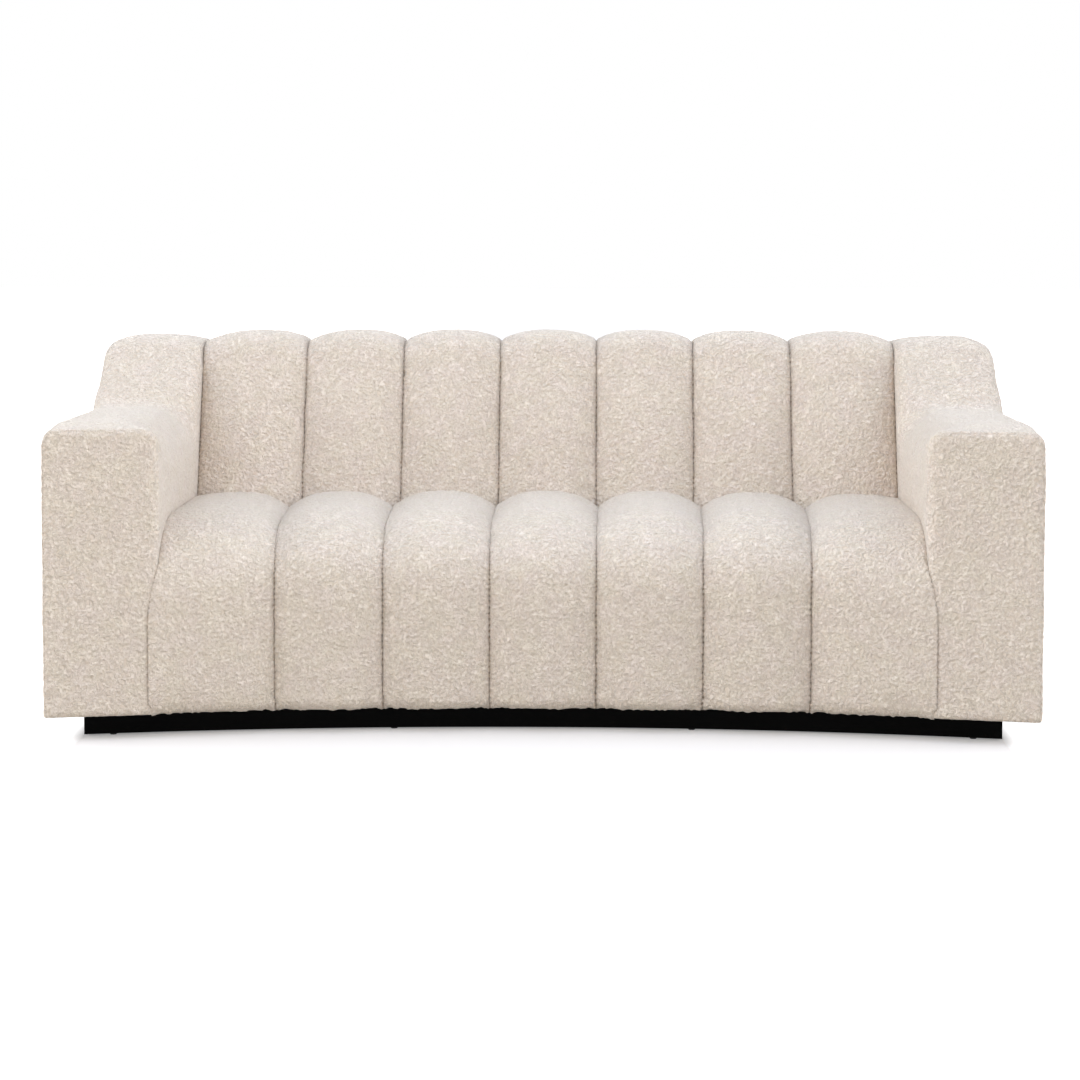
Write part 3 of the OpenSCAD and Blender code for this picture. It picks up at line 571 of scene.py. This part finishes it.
def channel(name, outer, inner, k, seed, material):
    outer, thread_and_shade = stitched(outer, k, seed, 4)
    return sewn(padded_shell(name, outer, inner, material), thread_and_shade)


def sweep_t_at(z, q):
    return SWEEP_T + (z - ARM_H) / math.tan(SWEEP_ANGLE) + q / math.sin(SWEEP_ANGLE)


def arm_line(front_in, top_in, sweep_in, end_in, rear_in, radii, steps):
    """Side view of an arm from its front edge over the top and the rise to its rear edge."""
    front_t = front_in - ARM_PROUD
    top, end_top = ARM_H - top_in, END_H - end_in
    half = math.tan(SWEEP_ANGLE / 2)
    angle, lean = math.degrees(SWEEP_ANGLE), math.degrees(REAR_LEAN)
    arcs = (
        (front_t + radii[0], top - radii[0], radii[0], 180, 90),
        (sweep_t_at(top, sweep_in) - radii[1] * half, top + radii[1], radii[1], -90, angle - 90),
        (sweep_t_at(end_top, sweep_in) + radii[2] * half, end_top - radii[2], radii[2], 90 + angle, 90),
        (rear_t(end_top - radii[3]) - rear_in - radii[3] / math.cos(REAR_LEAN), end_top - radii[3],
         radii[3], 90, -lean),
    )
    made = []
    for (ct, cz, r, a, b), count in zip(arcs, steps):
        w = np.radians(np.linspace(a, b, count))
        made.append(np.stack([ct + r * np.cos(w), cz + r * np.sin(w)], 1))
    return np.concatenate(made)


def arm_ring(d):
    i = ARM_W - d
    front_in = max(round_in(d, ARM_FRONT_R), round_in(i, ARM_FRONT_INNER_R))
    top_in = max(round_in(d, ARM_TOP_R), round_in(i, ARM_TOP_INNER_R))
    sweep_in = max(round_in(d, END_R), round_in(i, SWEEP_INNER_R))
    crown = END_CROWN * max(0, 1 - i / END_CROWN_W) ** CROWN_POWER
    end_in = max(oval_in(d, END_RUN, END_R), crown)
    rear_in = max(round_in(d, REAR_EDGE_R), round_in(i, REAR_SEAM_R))
    radii = (ARM_FRONT_TOP_R, DIP_R, BEND_R, REAR_R)
    front_t, foot = front_in - ARM_PROUD, CUSHION_Z + LIP
    w = np.radians(np.linspace(270, 180, 5))
    lip = np.stack([front_t + LIP + LIP * np.cos(w), foot + LIP * np.sin(w)], 1)
    rear_lip = np.array([[rear_t(foot) - rear_in, foot], [rear_t(CUSHION_Z) - rear_in - LIP, CUSHION_Z]])
    outline = np.concatenate(
        [lip, arm_line(front_in, top_in, sweep_in, end_in, rear_in, radii, (8, 10, 14, 12)), rear_lip]
    )
    return place(HALF_W - d, outline[:, 0], outline[:, 1])


def closed_rings(rings, hubs):
    count = len(rings[0])
    points = np.concatenate([*rings, np.array(hubs)])
    last = (len(rings) - 1) * count
    faces = []
    for i in range(len(rings) - 1):
        for j in range(count):
            a, b = i * count + j, i * count + (j + 1) % count
            faces.append((a, b, b + count, a + count))
    hub = len(rings) * count
    for j in range(count):
        k = (j + 1) % count
        faces.append((k, j, hub))
        faces.append((last + j, last + k, hub + 1))
    return points, faces


def applied(obj):
    depsgraph = bpy.context.evaluated_depsgraph_get()
    mesh = bpy.data.meshes.new_from_object(obj.evaluated_get(depsgraph))
    old = obj.data
    obj.modifiers.clear()
    obj.data = mesh
    bpy.data.meshes.remove(old)
    return obj


def coordinates(mesh):
    flat = np.empty(len(mesh.vertices) * 3, np.float32)
    mesh.vertices.foreach_get("co", flat)
    return flat.reshape(-1, 3).astype(float) / MM


def set_coordinates(mesh, points):
    mesh.vertices.foreach_set("co", (points * MM).astype(np.float32).ravel())
    mesh.update()


def vertex_normals(mesh):
    flat = np.empty(len(mesh.vertices) * 3, np.float32)
    mesh.vertex_normals.foreach_get("vector", flat)
    return flat.reshape(-1, 3).astype(float)


def arm_base():
    """The right arm's outer form as an even mesh, before loops and seams."""
    near = [0, 0.6, 2, 4, 7, 11, 16, 22, 30, 40, 55, 75]
    places = sorted({*near, ARM_W / 2, *(ARM_W - d for d in near if d <= 55), ARM_W - 85, ARM_W - 110})
    rings = [arm_ring(d) for d in reversed(places)]
    hubs = [place(SEAT_HALF, *ARM_HUB), place(HALF_W, *ARM_HUB)]
    points, faces = closed_rings(rings, hubs)
    obj = new_object("arm_base", points, faces, boucle)
    outward(obj)
    remesh = obj.modifiers.new("remesh", "REMESH")
    remesh.mode = "VOXEL"
    remesh.voxel_size = ARM_MESH * MM
    relax = obj.modifiers.new("relax", "SMOOTH")
    relax.factor, relax.iterations = 0.5, 4
    return applied(obj)


def arm_hollow(side):
    """The space of the arm's frame, open below, that is cut from its padding."""
    x0 = SEAT_HALF + ARM_INNER_PAD - GAP
    x1 = HALF_W - ARM_OUTER_PAD + GAP
    base = CUSHION_Z - 20
    front_in, rear_in = ARM_FRONT_PAD - GAP, ARM_REAR_PAD - GAP
    top_in, sweep_in, end_in = ARM_TOP_PAD - GAP, SWEEP_PAD - GAP, END_PAD - GAP
    radii = (HOLLOW_R, DIP_R, BEND_R - SWEEP_PAD, REAR_R - ARM_REAR_PAD)
    outline = np.concatenate([
        [[front_in - ARM_PROUD, base]],
        arm_line(front_in, top_in, sweep_in, end_in, rear_in, radii, (3, 4, 5, 4)),
        [[rear_t(base) - rear_in, base]],
    ])
    rings = [place(x, outline[:, 0], outline[:, 1]) for x in np.linspace(x0, x1, 4)]
    points, faces = closed_rings(rings, [place(x0, *ARM_HUB), place(x1, *ARM_HUB)])
    points[:, 0] *= side
    return points, faces


def front_panel_distance(points):
    """Signed distance from the seam round the arm's front panel, in mm."""
    x, z = np.abs(points[:, 0]), points[:, 2]
    f = points[:, 1] - front_y(x) + ARM_PROUD
    to_side = np.minimum(HALF_W - x, x - SEAT_HALF)
    to_top = ARM_H - z
    corner = PANEL_R - np.hypot(np.maximum(PANEL_R - to_side, 0), np.maximum(PANEL_R - to_top, 0))
    e = np.where((to_side < PANEL_R) & (to_top < PANEL_R), corner, np.minimum(to_side, to_top))
    return (f - e) / math.sqrt(2)


def seat_top(t):
    """Height of the seat's side against an arm, in mm."""
    top_in = SEAT_CROWN * ARM_TOP_SHARE
    front_in = SEAT_FRONT_CROWN * ARM_FRONT_SHARE
    ahead = np.clip((ROUND_D - t) / (ROUND_D - front_in), 0, 1)
    return SEAT_H - ROUND_H + (ROUND_H - top_in) * np.sqrt(1 - ahead**2)


def bare_share(points, soft=8):
    """0 where the seat or the back lies against an arm, 1 where the arm is bare."""
    x, z = np.abs(points[:, 0]), points[:, 2]
    t = points[:, 1] - front_y(x)
    above = smooth(z - seat_top(t), -2, soft)
    ahead = smooth(face_t(z, 0) - t, -2, soft)
    outside = smooth(x - SEAT_HALF - round_in(t + ARM_PROUD, ARM_FRONT_INNER_R), 2, 8)
    over = smooth(z - (SOFA_H - BACK_CROWN), -2, 4)
    return np.maximum(np.maximum(above * ahead, outside), over)


def arm(name, side, base, material):
    """The left or right arm: puffed out, rounded, with its loops, its seam and its hollow."""
    mesh = base.data.copy()
    mesh.name = name
    points = coordinates(mesh)
    points[:, 0] *= side
    set_coordinates(mesh, points)
    if side < 0:
        mesh.flip_normals()
    n = vertex_normals(mesh)
    t = points[:, 1] - front_y(points[:, 0])
    z = points[:, 2]
    height = np.clip((z - CUSHION_Z) / (ARM_H - CUSHION_Z), 0, 1)
    depth = np.clip(t / BODY_D, 0, 1)
    to_side = HALF_W - np.abs(points[:, 0])
    bare = bare_share(points)
    inner = np.maximum(-n[:, 0] * side, 0) ** 2
    outer = np.maximum(n[:, 0] * side, 0) ** 2
    front = np.maximum(-n[:, 1], 0) ** 2
    up = np.maximum(n[:, 2], 0) ** 2
    puff = SIDE_PUFF * outer * np.sin(math.pi * depth) * np.sin(math.pi * height)
    puff += INNER_PUFF * inner * bare_share(points, 60)
    to_inner = ARM_W - to_side
    before_rise = SWEEP_T + PAST_RISE - t
    puff += FRONT_PUFF * front * np.sin(math.pi * height) * smooth(to_inner, *FRONT_GROWS)
    flat_top = smooth(t, *TOP_GROWS) * smooth(before_rise, *TOP_ENDS)
    puff += TOP_PUFF * up * flat_top * smooth(to_side, *TOP_FROM_SIDE) * smooth(to_inner, *TOP_FROM_INNER)
    seam = front_panel_distance(points)
    over_top = smooth(to_inner, *SEAM_GROWS)
    groove = -GROOVE_D * np.exp(-((seam / 3) ** 2)) * over_top
    bottom = smooth(z, CUSHION_Z - 1, CUSHION_Z + 4)
    move = puff + groove + (loops(points, 900 + side) + tufts(points, 950 + side)) * bottom * bare
    points = points + n * move[:, None]
    inner_edge = smooth(t, *EDGE_GROWS) * smooth(before_rise, *EDGE_ENDS)
    from_inner = np.maximum(to_inner, 0)
    waterfall = round_in(from_inner, SOFT_EDGE_R) - round_in(from_inner, ARM_TOP_INNER_R)
    points[:, 2] -= waterfall * inner_edge * smooth(z, ARM_H - 240, ARM_H - 25)
    points[:, 0] -= side * END_TAPER * smooth(z, ARM_H + 15, ARM_H + 70) * smooth(-to_side, -120, -20)
    set_coordinates(mesh, points)
    obj = sewn(bpy.data.objects.new(name, mesh), 0.35 * np.exp(-((seam / 2.2) ** 2)) * over_top)
    scene.collection.objects.link(obj)
    points, faces = arm_hollow(side)
    cutter = new_object("cutter", points, faces, material)
    outward(cutter)
    cut = obj.modifiers.new("hollow", "BOOLEAN")
    cut.operation, cut.object, cut.solver = "DIFFERENCE", cutter, "MANIFOLD"
    applied(obj)
    bpy.data.objects.remove(cutter)
    obj.data.polygons.foreach_set("use_smooth", np.ones(len(obj.data.polygons), bool))
    return obj


def outside_cover(material):
    """The padded cloth over the board at the rear."""
    x_end = SEAT_HALF - GAP
    z0, z1 = CUSHION_Z, HOOK_Z - GAP
    r, rows = COVER_R, 150
    x = np.linspace(-x_end, x_end, 360)[:, None]
    low = oval(0, z0 + r, r, r, 270, 360, 4)
    high = oval(0, z1 - r, r, r, 0, 90, 4)
    t_in = np.concatenate([-r + low[0], np.zeros((1, rows)), -r + high[0], [[-r]]], 1)
    flat = np.linspace(z0 + r, z1 - r, rows, endpoint=False)[None, :]
    z = np.concatenate([low[1], flat, high[1], [[z1]]], 1)
    edge = round_in(x_end - np.abs(x), r)
    t = rear_t(z) + np.minimum(t_in, -edge)
    outer = place(x, t, np.broadcast_to(z, t.shape))
    n = -normals(outer)
    bow = np.sin(math.pi * (x / x_end + 1) / 2) * np.sin(math.pi * (z - z0) / (z1 - z0))
    edge_still = smooth(x_end - np.abs(x), 0, 5) * smooth(z - z0, 0, 6) * smooth(z1 - z, 0, 6)
    outer = outer + n * (COVER_BOW * bow + loops(outer, 777) * edge_still)[..., None]
    xs = np.linspace(-x_end, x_end, 27)[:, None]
    z = np.linspace(z0, z1, 6)[None, :]
    inner = place(xs, rear_t(z) - COVER_T, z)
    return padded_shell("outside_back_boucle", outer, inner, material)


def feed(made, inputs):
    """Sets inputs of a node, each to a value or to what another node gives."""
    for key, value in dict(inputs).items():
        if isinstance(value, bpy.types.NodeSocket):
            made.id_data.links.new(value, made.inputs[key])
        else:
            made.inputs[key].default_value = value
    return made


def node(tree, kind, inputs=(), **settings):
    made = tree.nodes.new("ShaderNode" + kind)
    for key, value in settings.items():
        setattr(made, key, value)
    return feed(made, inputs)


def calc(tree, operation, *values):
    """The result of an operation on numbers and sockets."""
    return node(tree, "Math", enumerate(values), operation=operation).outputs[0]


def speckle(tree, where, scale, detail):
    """Noise from 0 to 1, with its features per metre."""
    return node(tree, "TexNoise", {"Vector": where, "Scale": scale, "Detail": detail}).outputs["Fac"]


def bumped(tree, strength, depth, height):
    """Normals of a fine relief, whose depth is in metres."""
    return node(tree, "Bump", {"Strength": strength, "Distance": depth, "Height": height}).outputs[0]


def ramp(tree, factor, stops):
    """Colour that runs through stops, each a place and a colour."""
    made = node(tree, "ValToRGB", {"Fac": factor})
    while len(made.color_ramp.elements) < len(stops):
        made.color_ramp.elements.new(0.5)
    for element, (at, colour) in zip(made.color_ramp.elements, stops):
        element.position = at
        element.color = (*colour, 1)
    return made.outputs["Color"]


def new_material(name):
    material = bpy.data.materials.new(name)
    material.use_nodes = True
    tree = material.node_tree
    shader = tree.nodes["Principled BSDF"]
    place_in = node(tree, "TexCoord").outputs["Object"]
    return material, tree, shader, place_in


# The looped fabric: how far its curls wind, in metres, the features per metre of each part of its
# pattern, how thin a curl is, and the share of each part in the relief, whose depth is in metres
WIND, WIND_SCALE, CURL_SCALE, CURL_THIN = 0.011, 125, 120, 20.0
NUB_SCALE, MOUND_SCALE, CLOUD_SCALE = 250, 145, 22
CURL_H, NUB_H, MOUND_H, RELIEF = 0.5, 0.4, 1.6, 0.003
# Colour of the thread, which also paints the shade in the seams' pits
THREAD_AND_SHADE_COLOUR = (0.36, 0.24, 0.14, 1)


def curls(tree, where):
    """1 along the winding lines of one layer of loops, falling to 0 between them."""
    warp = node(tree, "TexNoise", {"Vector": where, "Scale": WIND_SCALE, "Detail": 1}).outputs["Color"]
    shift = node(tree, "VectorMath", {0: warp, 1: (0.5, 0.5, 0.5)}, operation="SUBTRACT").outputs[0]
    shift = node(tree, "VectorMath", {0: shift, "Scale": WIND}, operation="SCALE").outputs[0]
    bent = node(tree, "VectorMath", {0: where, 1: shift}, operation="ADD").outputs[0]
    field = calc(tree, "SUBTRACT", speckle(tree, bent, CURL_SCALE, 0), 0.5)
    field = calc(tree, "MULTIPLY", field, CURL_THIN)
    return calc(tree, "DIVIDE", 1.0, calc(tree, "ADD", calc(tree, "POWER", field, 2.0), 1.0))


def boucle_material():
    """Looped wool: pale curled loops close together over a duller ground, whose dullness is partly the
    wool's own tone and partly painted shade between the loops.
    """
    material, tree, shader, where = new_material("boucle")
    aside = node(tree, "VectorMath", {0: where, 1: (3.1, 5.3, 7.7)}, operation="ADD").outputs[0]
    curl = calc(tree, "SMOOTH_MAX", curls(tree, where), curls(tree, aside), 0.3)
    nub = calc(tree, "SUBTRACT", speckle(tree, where, NUB_SCALE, 1), 0.5)
    # The colour darkens where the curls fall away: partly the wool's own tone, partly painted shade between
    # the loops.
    colour = ramp(tree, calc(tree, "MULTIPLY_ADD", nub, 0.75, curl), [
        (0.00, (0.766, 0.656, 0.548)),
        (0.30, (0.826, 0.717, 0.606)),
        (0.60, (0.881, 0.773, 0.662)),
        (1.00, (0.961, 0.860, 0.755)),
    ])
    cloud = speckle(tree, where, CLOUD_SCALE, 2)
    tint = ramp(tree, cloud, [(0.35, (1.0, 0.978, 0.985)), (0.65, (1.0, 0.992, 0.965))])
    tinted = node(tree, "Mix", {0: 1.0, 6: colour, 7: tint}, data_type="RGBA", blend_type="MULTIPLY")
    # Painted shade: where the attribute says, the thread colour marks the seams' thread together with the
    # shade in their pits.
    shown = node(tree, "Attribute", attribute_name="thread_and_shade").outputs["Fac"]
    sewn_and_shaded = node(tree, "Mix", {0: shown, 6: tinted.outputs[2], 7: THREAD_AND_SHADE_COLOUR}, data_type="RGBA")
    mound = speckle(tree, where, MOUND_SCALE, 0)
    relief = calc(tree, "MULTIPLY", curl, CURL_H)
    relief = calc(tree, "MULTIPLY_ADD", nub, NUB_H, relief)
    relief = calc(tree, "MULTIPLY_ADD", mound, MOUND_H, relief)
    feed(shader, {"Base Color": sewn_and_shaded.outputs[2], "Normal": bumped(tree, 1.0, RELIEF, relief)})
    feed(shader, {"Roughness": 0.95, "Specular IOR Level": 0.1})
    feed(shader, {"Sheen Weight": 1.0, "Sheen Roughness": 0.4, "Sheen Tint": (1.0, 0.95, 0.87, 1)})
    return material


boucle = boucle_material()

# Pieces of fabric that replace the soft solids
for part, form, seed in (("seat", seat_form, 0), ("back", back_form, 500)):
    outers, inners = zip(*(form(k) for k in range(1, CHANNELS + 1)))
    for k, outer, inner in zip(range(1, CHANNELS + 1), swollen(outers), inners):
        piece = channel(f"{part}_channel_{k}_boucle", outer, inner, k, seed + 11 * k, boucle)
        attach(piece, "root")
        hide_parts(f"{part}_channel_{k}")

base = arm_base()
for name, side in (("left_arm", -1), ("right_arm", 1)):
    piece = arm(f"{name}_boucle", side, base, boucle)
    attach(piece, "root")
    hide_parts(f"{name}_upholstery")
bpy.data.objects.remove(base)

piece = outside_cover(boucle)
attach(piece, "root")
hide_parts("outside_back_cover")


def block(name, outline, xs, material):
    """A closed piece whose section is the same all along the sofa."""
    outline = np.array(outline, float)
    rings = [place(x, outline[:, 0], outline[:, 1]) for x in xs]
    middle = outline.mean(0)
    points, faces = closed_rings(rings, [place(x, *middle) for x in (xs[0], xs[-1])])
    obj = new_object(name, points, faces, material, np.zeros(len(faces), bool))
    outward(obj)
    return obj


def foam_core(material):
    """The seat's block of foam, in one piece under all the channels."""
    round_t, round_z = SEAT_FRONT_PAD + GAP, SEAT_PAD + GAP
    top, base, edge = SEAT_H - SEAT_PAD - GAP, CORE_Z, 4
    t, z = oval(ROUND_D, SEAT_H - ROUND_H, ROUND_D - round_t, ROUND_H - round_z, 180, 90, 24)
    rear = face_t(top, BACK_PAD)
    outline = [*zip(t[0], z[0]), (rear - edge, top), (rear, top - edge)]
    outline += [(face_t(base + edge, BACK_PAD), base + edge), (face_t(base, BACK_PAD) - edge, base)]
    outline += [(round_t + edge, base), (round_t, base + edge)]
    return block("seat_foam", outline, np.linspace(-FRAME_HALF, FRAME_HALF, 61), material)


def strap(name, outline, xs, material):
    """A strap of webbing with softened edges."""
    obj = block(name, outline, xs, material)
    soft = obj.modifiers.new("edges", "BEVEL")
    soft.width, soft.segments = 0.4 * MM, 2
    return applied(obj)


def lean_strap(z0, z1, q):
    """Section of a strap that leans with the back, q mm behind its face."""
    front = [(face_t(z0, q), z0), (face_t(z1, q), z1)]
    return front + [(face_t(z1, q + STRAP_T), z1), (face_t(z0, q + STRAP_T), z0)]


def horizontal_straps(material):
    xs = np.linspace(-FRAME_HALF, FRAME_HALF, 91)
    rise = STRAP_W * math.cos(LEAN)
    outlines = [lean_strap(z, z + rise, BACK_PAD + GAP) for z in STRAP_ZS]
    return [strap(f"horizontal_strap_{i + 1}", line_in, xs, material) for i, line_in in enumerate(outlines)]


def vertical_straps(material):
    outline = lean_strap(CORE_Z + FIT, STRAP_TOP, BACK_PAD + GAP + STRAP_T + FIT)
    middles = np.linspace(-FRAME_HALF + STRAP_W, FRAME_HALF - STRAP_W, VERTICAL_STRAPS)
    widths = [np.linspace(x - STRAP_W / 2, x + STRAP_W / 2, 5) for x in middles]
    return [strap(f"vertical_strap_{i + 1}", outline, xs, material) for i, xs in enumerate(widths)]


def cloth(name, x, front, rear, z, thick, waves, material):
    """A thin sheet from a front line to a rear line, a little wavy in height."""
    x = x[:, None]
    share = np.linspace(0, 1, 60)[None, :]
    t = front + (rear - front) * share
    top = place(x, t, z)
    still = np.minimum(smooth(np.minimum(share, 1 - share), 0, 0.05), smooth(HALF_W - np.abs(x), 15, 60))
    top[..., 2] += waves * still * noise(top, 60, 31)
    return padded_shell(name, top, top - np.array([0, 0, thick]), material)


def dust_cover(material):
    """Black cloth under the sofa, which reaches further forward under the arms."""
    x_end, x_step = HALF_W - ARM_OUTER_PAD - GAP, SEAT_HALF + ARM_INNER_PAD
    left, right = np.linspace(-x_end, -x_step, 16), np.linspace(x_step, x_end, 16)
    x = np.concatenate([left, np.linspace(2 - x_step, x_step - 2, 90), right])
    under_seat = np.abs(x) < x_step - 1
    front = np.where(under_seat, SEAT_FRONT_PAD + FIT, ARM_FRONT_PAD - ARM_PROUD + FIT)[:, None]
    rear = rear_t(CUSHION_Z) - ARM_REAR_PAD - GAP
    return cloth("underside_cloth", x, front, rear, CUSHION_Z + 0.9, 0.7, 0.1, material)


def deck_cloth(material):
    """Felt between the springs and the foam."""
    x = np.linspace(-FRAME_HALF, FRAME_HALF, 90)
    front, rear = SEAT_FRONT_PAD + FIT, SEAT_D + DECK_REACH - FIT
    return cloth("deck_felt", x, front, rear, CORE_Z - 0.8, 1.2, 0.3, material)


def finish_of(slot, scale, stops, roughness, relief, stretch=(1, 1, 1), metallic=0.0, specular=0.5):
    """A finish whose colour and fine relief come from stretched noise."""
    material, tree, shader, where = new_material(slot)
    drawn = node(tree, "Mapping", {"Vector": where, "Scale": stretch}).outputs[0]
    pattern = {"Vector": drawn, "Scale": scale, "Detail": 5, "Distortion": 0.3}
    grain = node(tree, "TexNoise", pattern).outputs["Fac"]
    colour = ramp(tree, grain, stops)
    worn = speckle(tree, where, scale / 7, 3)
    rough = node(tree, "MapRange", {"Value": worn, "To Min": roughness - 0.08, "To Max": roughness + 0.08})
    bump = bumped(tree, 0.5, relief, grain)
    feed(shader, {"Base Color": colour, "Roughness": rough.outputs[0], "Normal": bump})
    feed(shader, {"Metallic": metallic, "Specular IOR Level": specular})
    return material


def woven(slot, colours, pitch, relief):
    """A plain weave of two crossing threads."""
    material, tree, shader, where = new_material(slot)
    heights = []
    for axis in ("X", "Z"):
        uneven = {"Distortion": 1.5, "Detail": 2, "Detail Scale": 3}
        threads = {"Vector": where, "Scale": 1 / pitch / 10, **uneven}
        heights.append(node(tree, "TexWave", threads, bands_direction=axis).outputs["Fac"])
    weave = calc(tree, "MULTIPLY", *heights)
    colour = ramp(tree, weave, [(0.1, colours[0]), (0.8, colours[1])])
    feed(shader, {"Base Color": colour, "Roughness": 0.85, "Normal": bumped(tree, 0.6, relief, weave)})
    return material


BLACK = [(0.3, (0.0015, 0.0015, 0.0015)), (0.7, (0.003, 0.003, 0.003))]
BIRCH = [(0.3, (0.42, 0.27, 0.14)), (0.5, (0.56, 0.39, 0.22)), (0.7, (0.62, 0.46, 0.28))]
PINE = [(0.3, (0.50, 0.30, 0.12)), (0.5, (0.68, 0.48, 0.25)), (0.7, (0.74, 0.56, 0.33))]
ZINC = [(0.3, (0.42, 0.43, 0.46)), (0.7, (0.60, 0.61, 0.63))]
DARK_STEEL = [(0.3, (0.05, 0.05, 0.055)), (0.7, (0.10, 0.10, 0.11))]
FELT = [(0.3, (0.46, 0.44, 0.40)), (0.7, (0.62, 0.60, 0.55))]
FOAM = [(0.35, (0.58, 0.50, 0.24)), (0.6, (0.80, 0.73, 0.42))]
CARD = [(0.3, (0.30, 0.20, 0.10)), (0.7, (0.42, 0.29, 0.16))]
NYLON = [(0.3, (0.012, 0.012, 0.012)), (0.7, (0.025, 0.025, 0.025))]
BLACK_THREADS = ((0.003, 0.003, 0.003), (0.012, 0.012, 0.012))
JUTE_THREADS = ((0.14, 0.08, 0.035), (0.34, 0.22, 0.11))

FINISHES = {
    "black_lacquer": finish_of("black_lacquer", 90, BLACK, 0.5, 0.0001, (1, 1, 6), specular=0.03),
    "plywood": finish_of("plywood", 45, BIRCH, 0.6, 0.0002, (1, 1, 14)),
    "pine": finish_of("pine", 22, PINE, 0.58, 0.0002, (1, 5, 9)),
    "zinc_steel": finish_of("zinc_steel", 240, ZINC, 0.34, 0.00003, metallic=1.0),
    "spring_steel": finish_of("spring_steel", 160, DARK_STEEL, 0.4, 0.00003, metallic=1.0),
    "black_cloth": woven("black_cloth", BLACK_THREADS, 0.0012, 0.0002),
    "deck_felt": finish_of("deck_felt", 400, FELT, 0.9, 0.0004),
    "foam": finish_of("foam", 500, FOAM, 0.9, 0.0006),
    "webbing": woven("webbing", JUTE_THREADS, 0.0025, 0.0004),
    "card": finish_of("card", 120, CARD, 0.85, 0.0001),
    "nylon": finish_of("nylon", 300, NYLON, 0.5, 0.00005),
}

core = foam_core(FINISHES["foam"])
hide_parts("seat_foam_core")

rows = horizontal_straps(FINISHES["webbing"])
for other in rows:
    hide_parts("horizontal_webbing")
columns = vertical_straps(FINISHES["webbing"])
for other in columns:
    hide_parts("vertical_webbing")

under = dust_cover(FINISHES["black_cloth"])
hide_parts("dust_cover")
deck = deck_cloth(FINISHES["deck_felt"])
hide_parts("deck_cloth")
for piece in [core, under, deck, *rows, *columns]:
    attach(piece, "root")

for row in frame["record"]["subparts"]:
    obj = NODES[row["node"]]
    if not obj.hide_render:
        obj.data.materials.clear()
        obj.data.materials.append(FINISHES[row["material_slot"]])


# Floor and light
def backdrop_rays(tree):
    """1 for the rays that see the backdrop straight, in a gloss or through something."""
    path = node(tree, "LightPath").outputs
    seen = calc(tree, "MAXIMUM", path["Is Camera Ray"], path["Is Glossy Ray"])
    return calc(tree, "MAXIMUM", seen, path["Is Transmission Ray"])


def studio_floor():
    """A floor that shows white, with a shadow under the sofa and, as photographed, none beside it."""
    material, tree, shader, where = new_material("floor")
    far = 40000
    corners = np.array([(-far, -far, 0), (far, -far, 0), (far, far, 0), (-far, far, 0)])
    made = new_object("floor", corners, [(0, 1, 2, 3)], material, [False])
    feed(shader, {"Base Color": (0.585, 0.55, 0.49, 1), "Roughness": 0.9})
    pale = node(tree, "BsdfDiffuse", {"Color": (0.72, 0.68, 0.645, 1)}).outputs[0]
    wide = calc(tree, "ABSOLUTE", node(tree, "SeparateXYZ", {0: where}).outputs["X"])
    plinth_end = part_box("plinth_front")[1].x
    # Painted light: beside the plinth's ends the floor glows brighter for the camera, which washes out the
    # sofa's shadow there.
    ends = {"From Min": plinth_end, "From Max": plinth_end + 0.03, "To Min": 0.25, "To Max": 0.9}
    beside = node(tree, "MapRange", {"Value": wide, **ends}).outputs[0]
    painted_light_glow = node(tree, "Emission", {"Color": (1, 1, 1, 1), "Strength": beside}).outputs[0]
    bright = node(tree, "AddShader", {0: pale, 1: painted_light_glow}).outputs[0]
    mixed = node(tree, "MixShader", {0: backdrop_rays(tree), 1: shader.outputs[0], 2: bright})
    feed(tree.nodes["Material Output"], {"Surface": mixed.outputs[0]})
    return made


floor = studio_floor()

# Strength of the studio's light from both sides, from above and from the lamp, in its own units,
# and its colours from level with the sofa to overhead
SIDE_LIGHT, TOP_LIGHT, KEY_LIGHT = 3.15, 1.1, 14
LEVEL_COLOUR, OVERHEAD_COLOUR, KEY_COLOUR = (1.05, 1.0, 0.955), (0.88, 1.0, 1.19), (1.0, 0.93, 0.82)


def studio_world():
    """Light from both sides and from above, with a backdrop that shows white."""
    world = bpy.data.worlds.new("studio")
    scene.world = world
    world.use_nodes = True
    tree = world.node_tree
    around = tree.nodes["Background"]
    ray = node(tree, "SeparateXYZ", {0: node(tree, "TexCoord").outputs["Generated"]}).outputs
    above = calc(tree, "POWER", calc(tree, "MAXIMUM", ray["Z"], 0.0), 3.0)
    above = calc(tree, "MULTIPLY", above, TOP_LIGHT)
    side = calc(tree, "MULTIPLY", ray["X"], SIDE_LIGHT)
    level = calc(tree, "MULTIPLY_ADD", ray["X"], side, above)
    colour = ramp(tree, ray["Z"], [(0.0, LEVEL_COLOUR), (0.9, OVERHEAD_COLOUR)])
    feed(around, {"Strength": level, "Color": colour})
    white = node(tree, "Background", {"Color": (1, 1, 1, 1), "Strength": 1.0})
    mixed = node(tree, "MixShader", {0: backdrop_rays(tree), 1: around.outputs[0], 2: white.outputs[0]})
    feed(tree.nodes["World Output"], {"Surface": mixed.outputs[0]})


def key_lamp():
    """A wide soft lamp before the sofa, up on the left."""
    data = bpy.data.lights.new("key", "AREA")
    data.shape, data.size, data.size_y = "RECTANGLE", 2.4, 1.6
    data.energy = KEY_LIGHT
    data.color = KEY_COLOUR
    lamp = bpy.data.objects.new("key", data)
    scene.collection.objects.link(lamp)
    lamp.location = (-1.5, -2.6, 2.4)
    lamp.rotation_euler = (Vector((0, 0, 0.45)) - lamp.location).to_track_quat("-Z", "Y").to_euler()


studio_world()
key_lamp()

scene.view_settings.view_transform = "Standard"
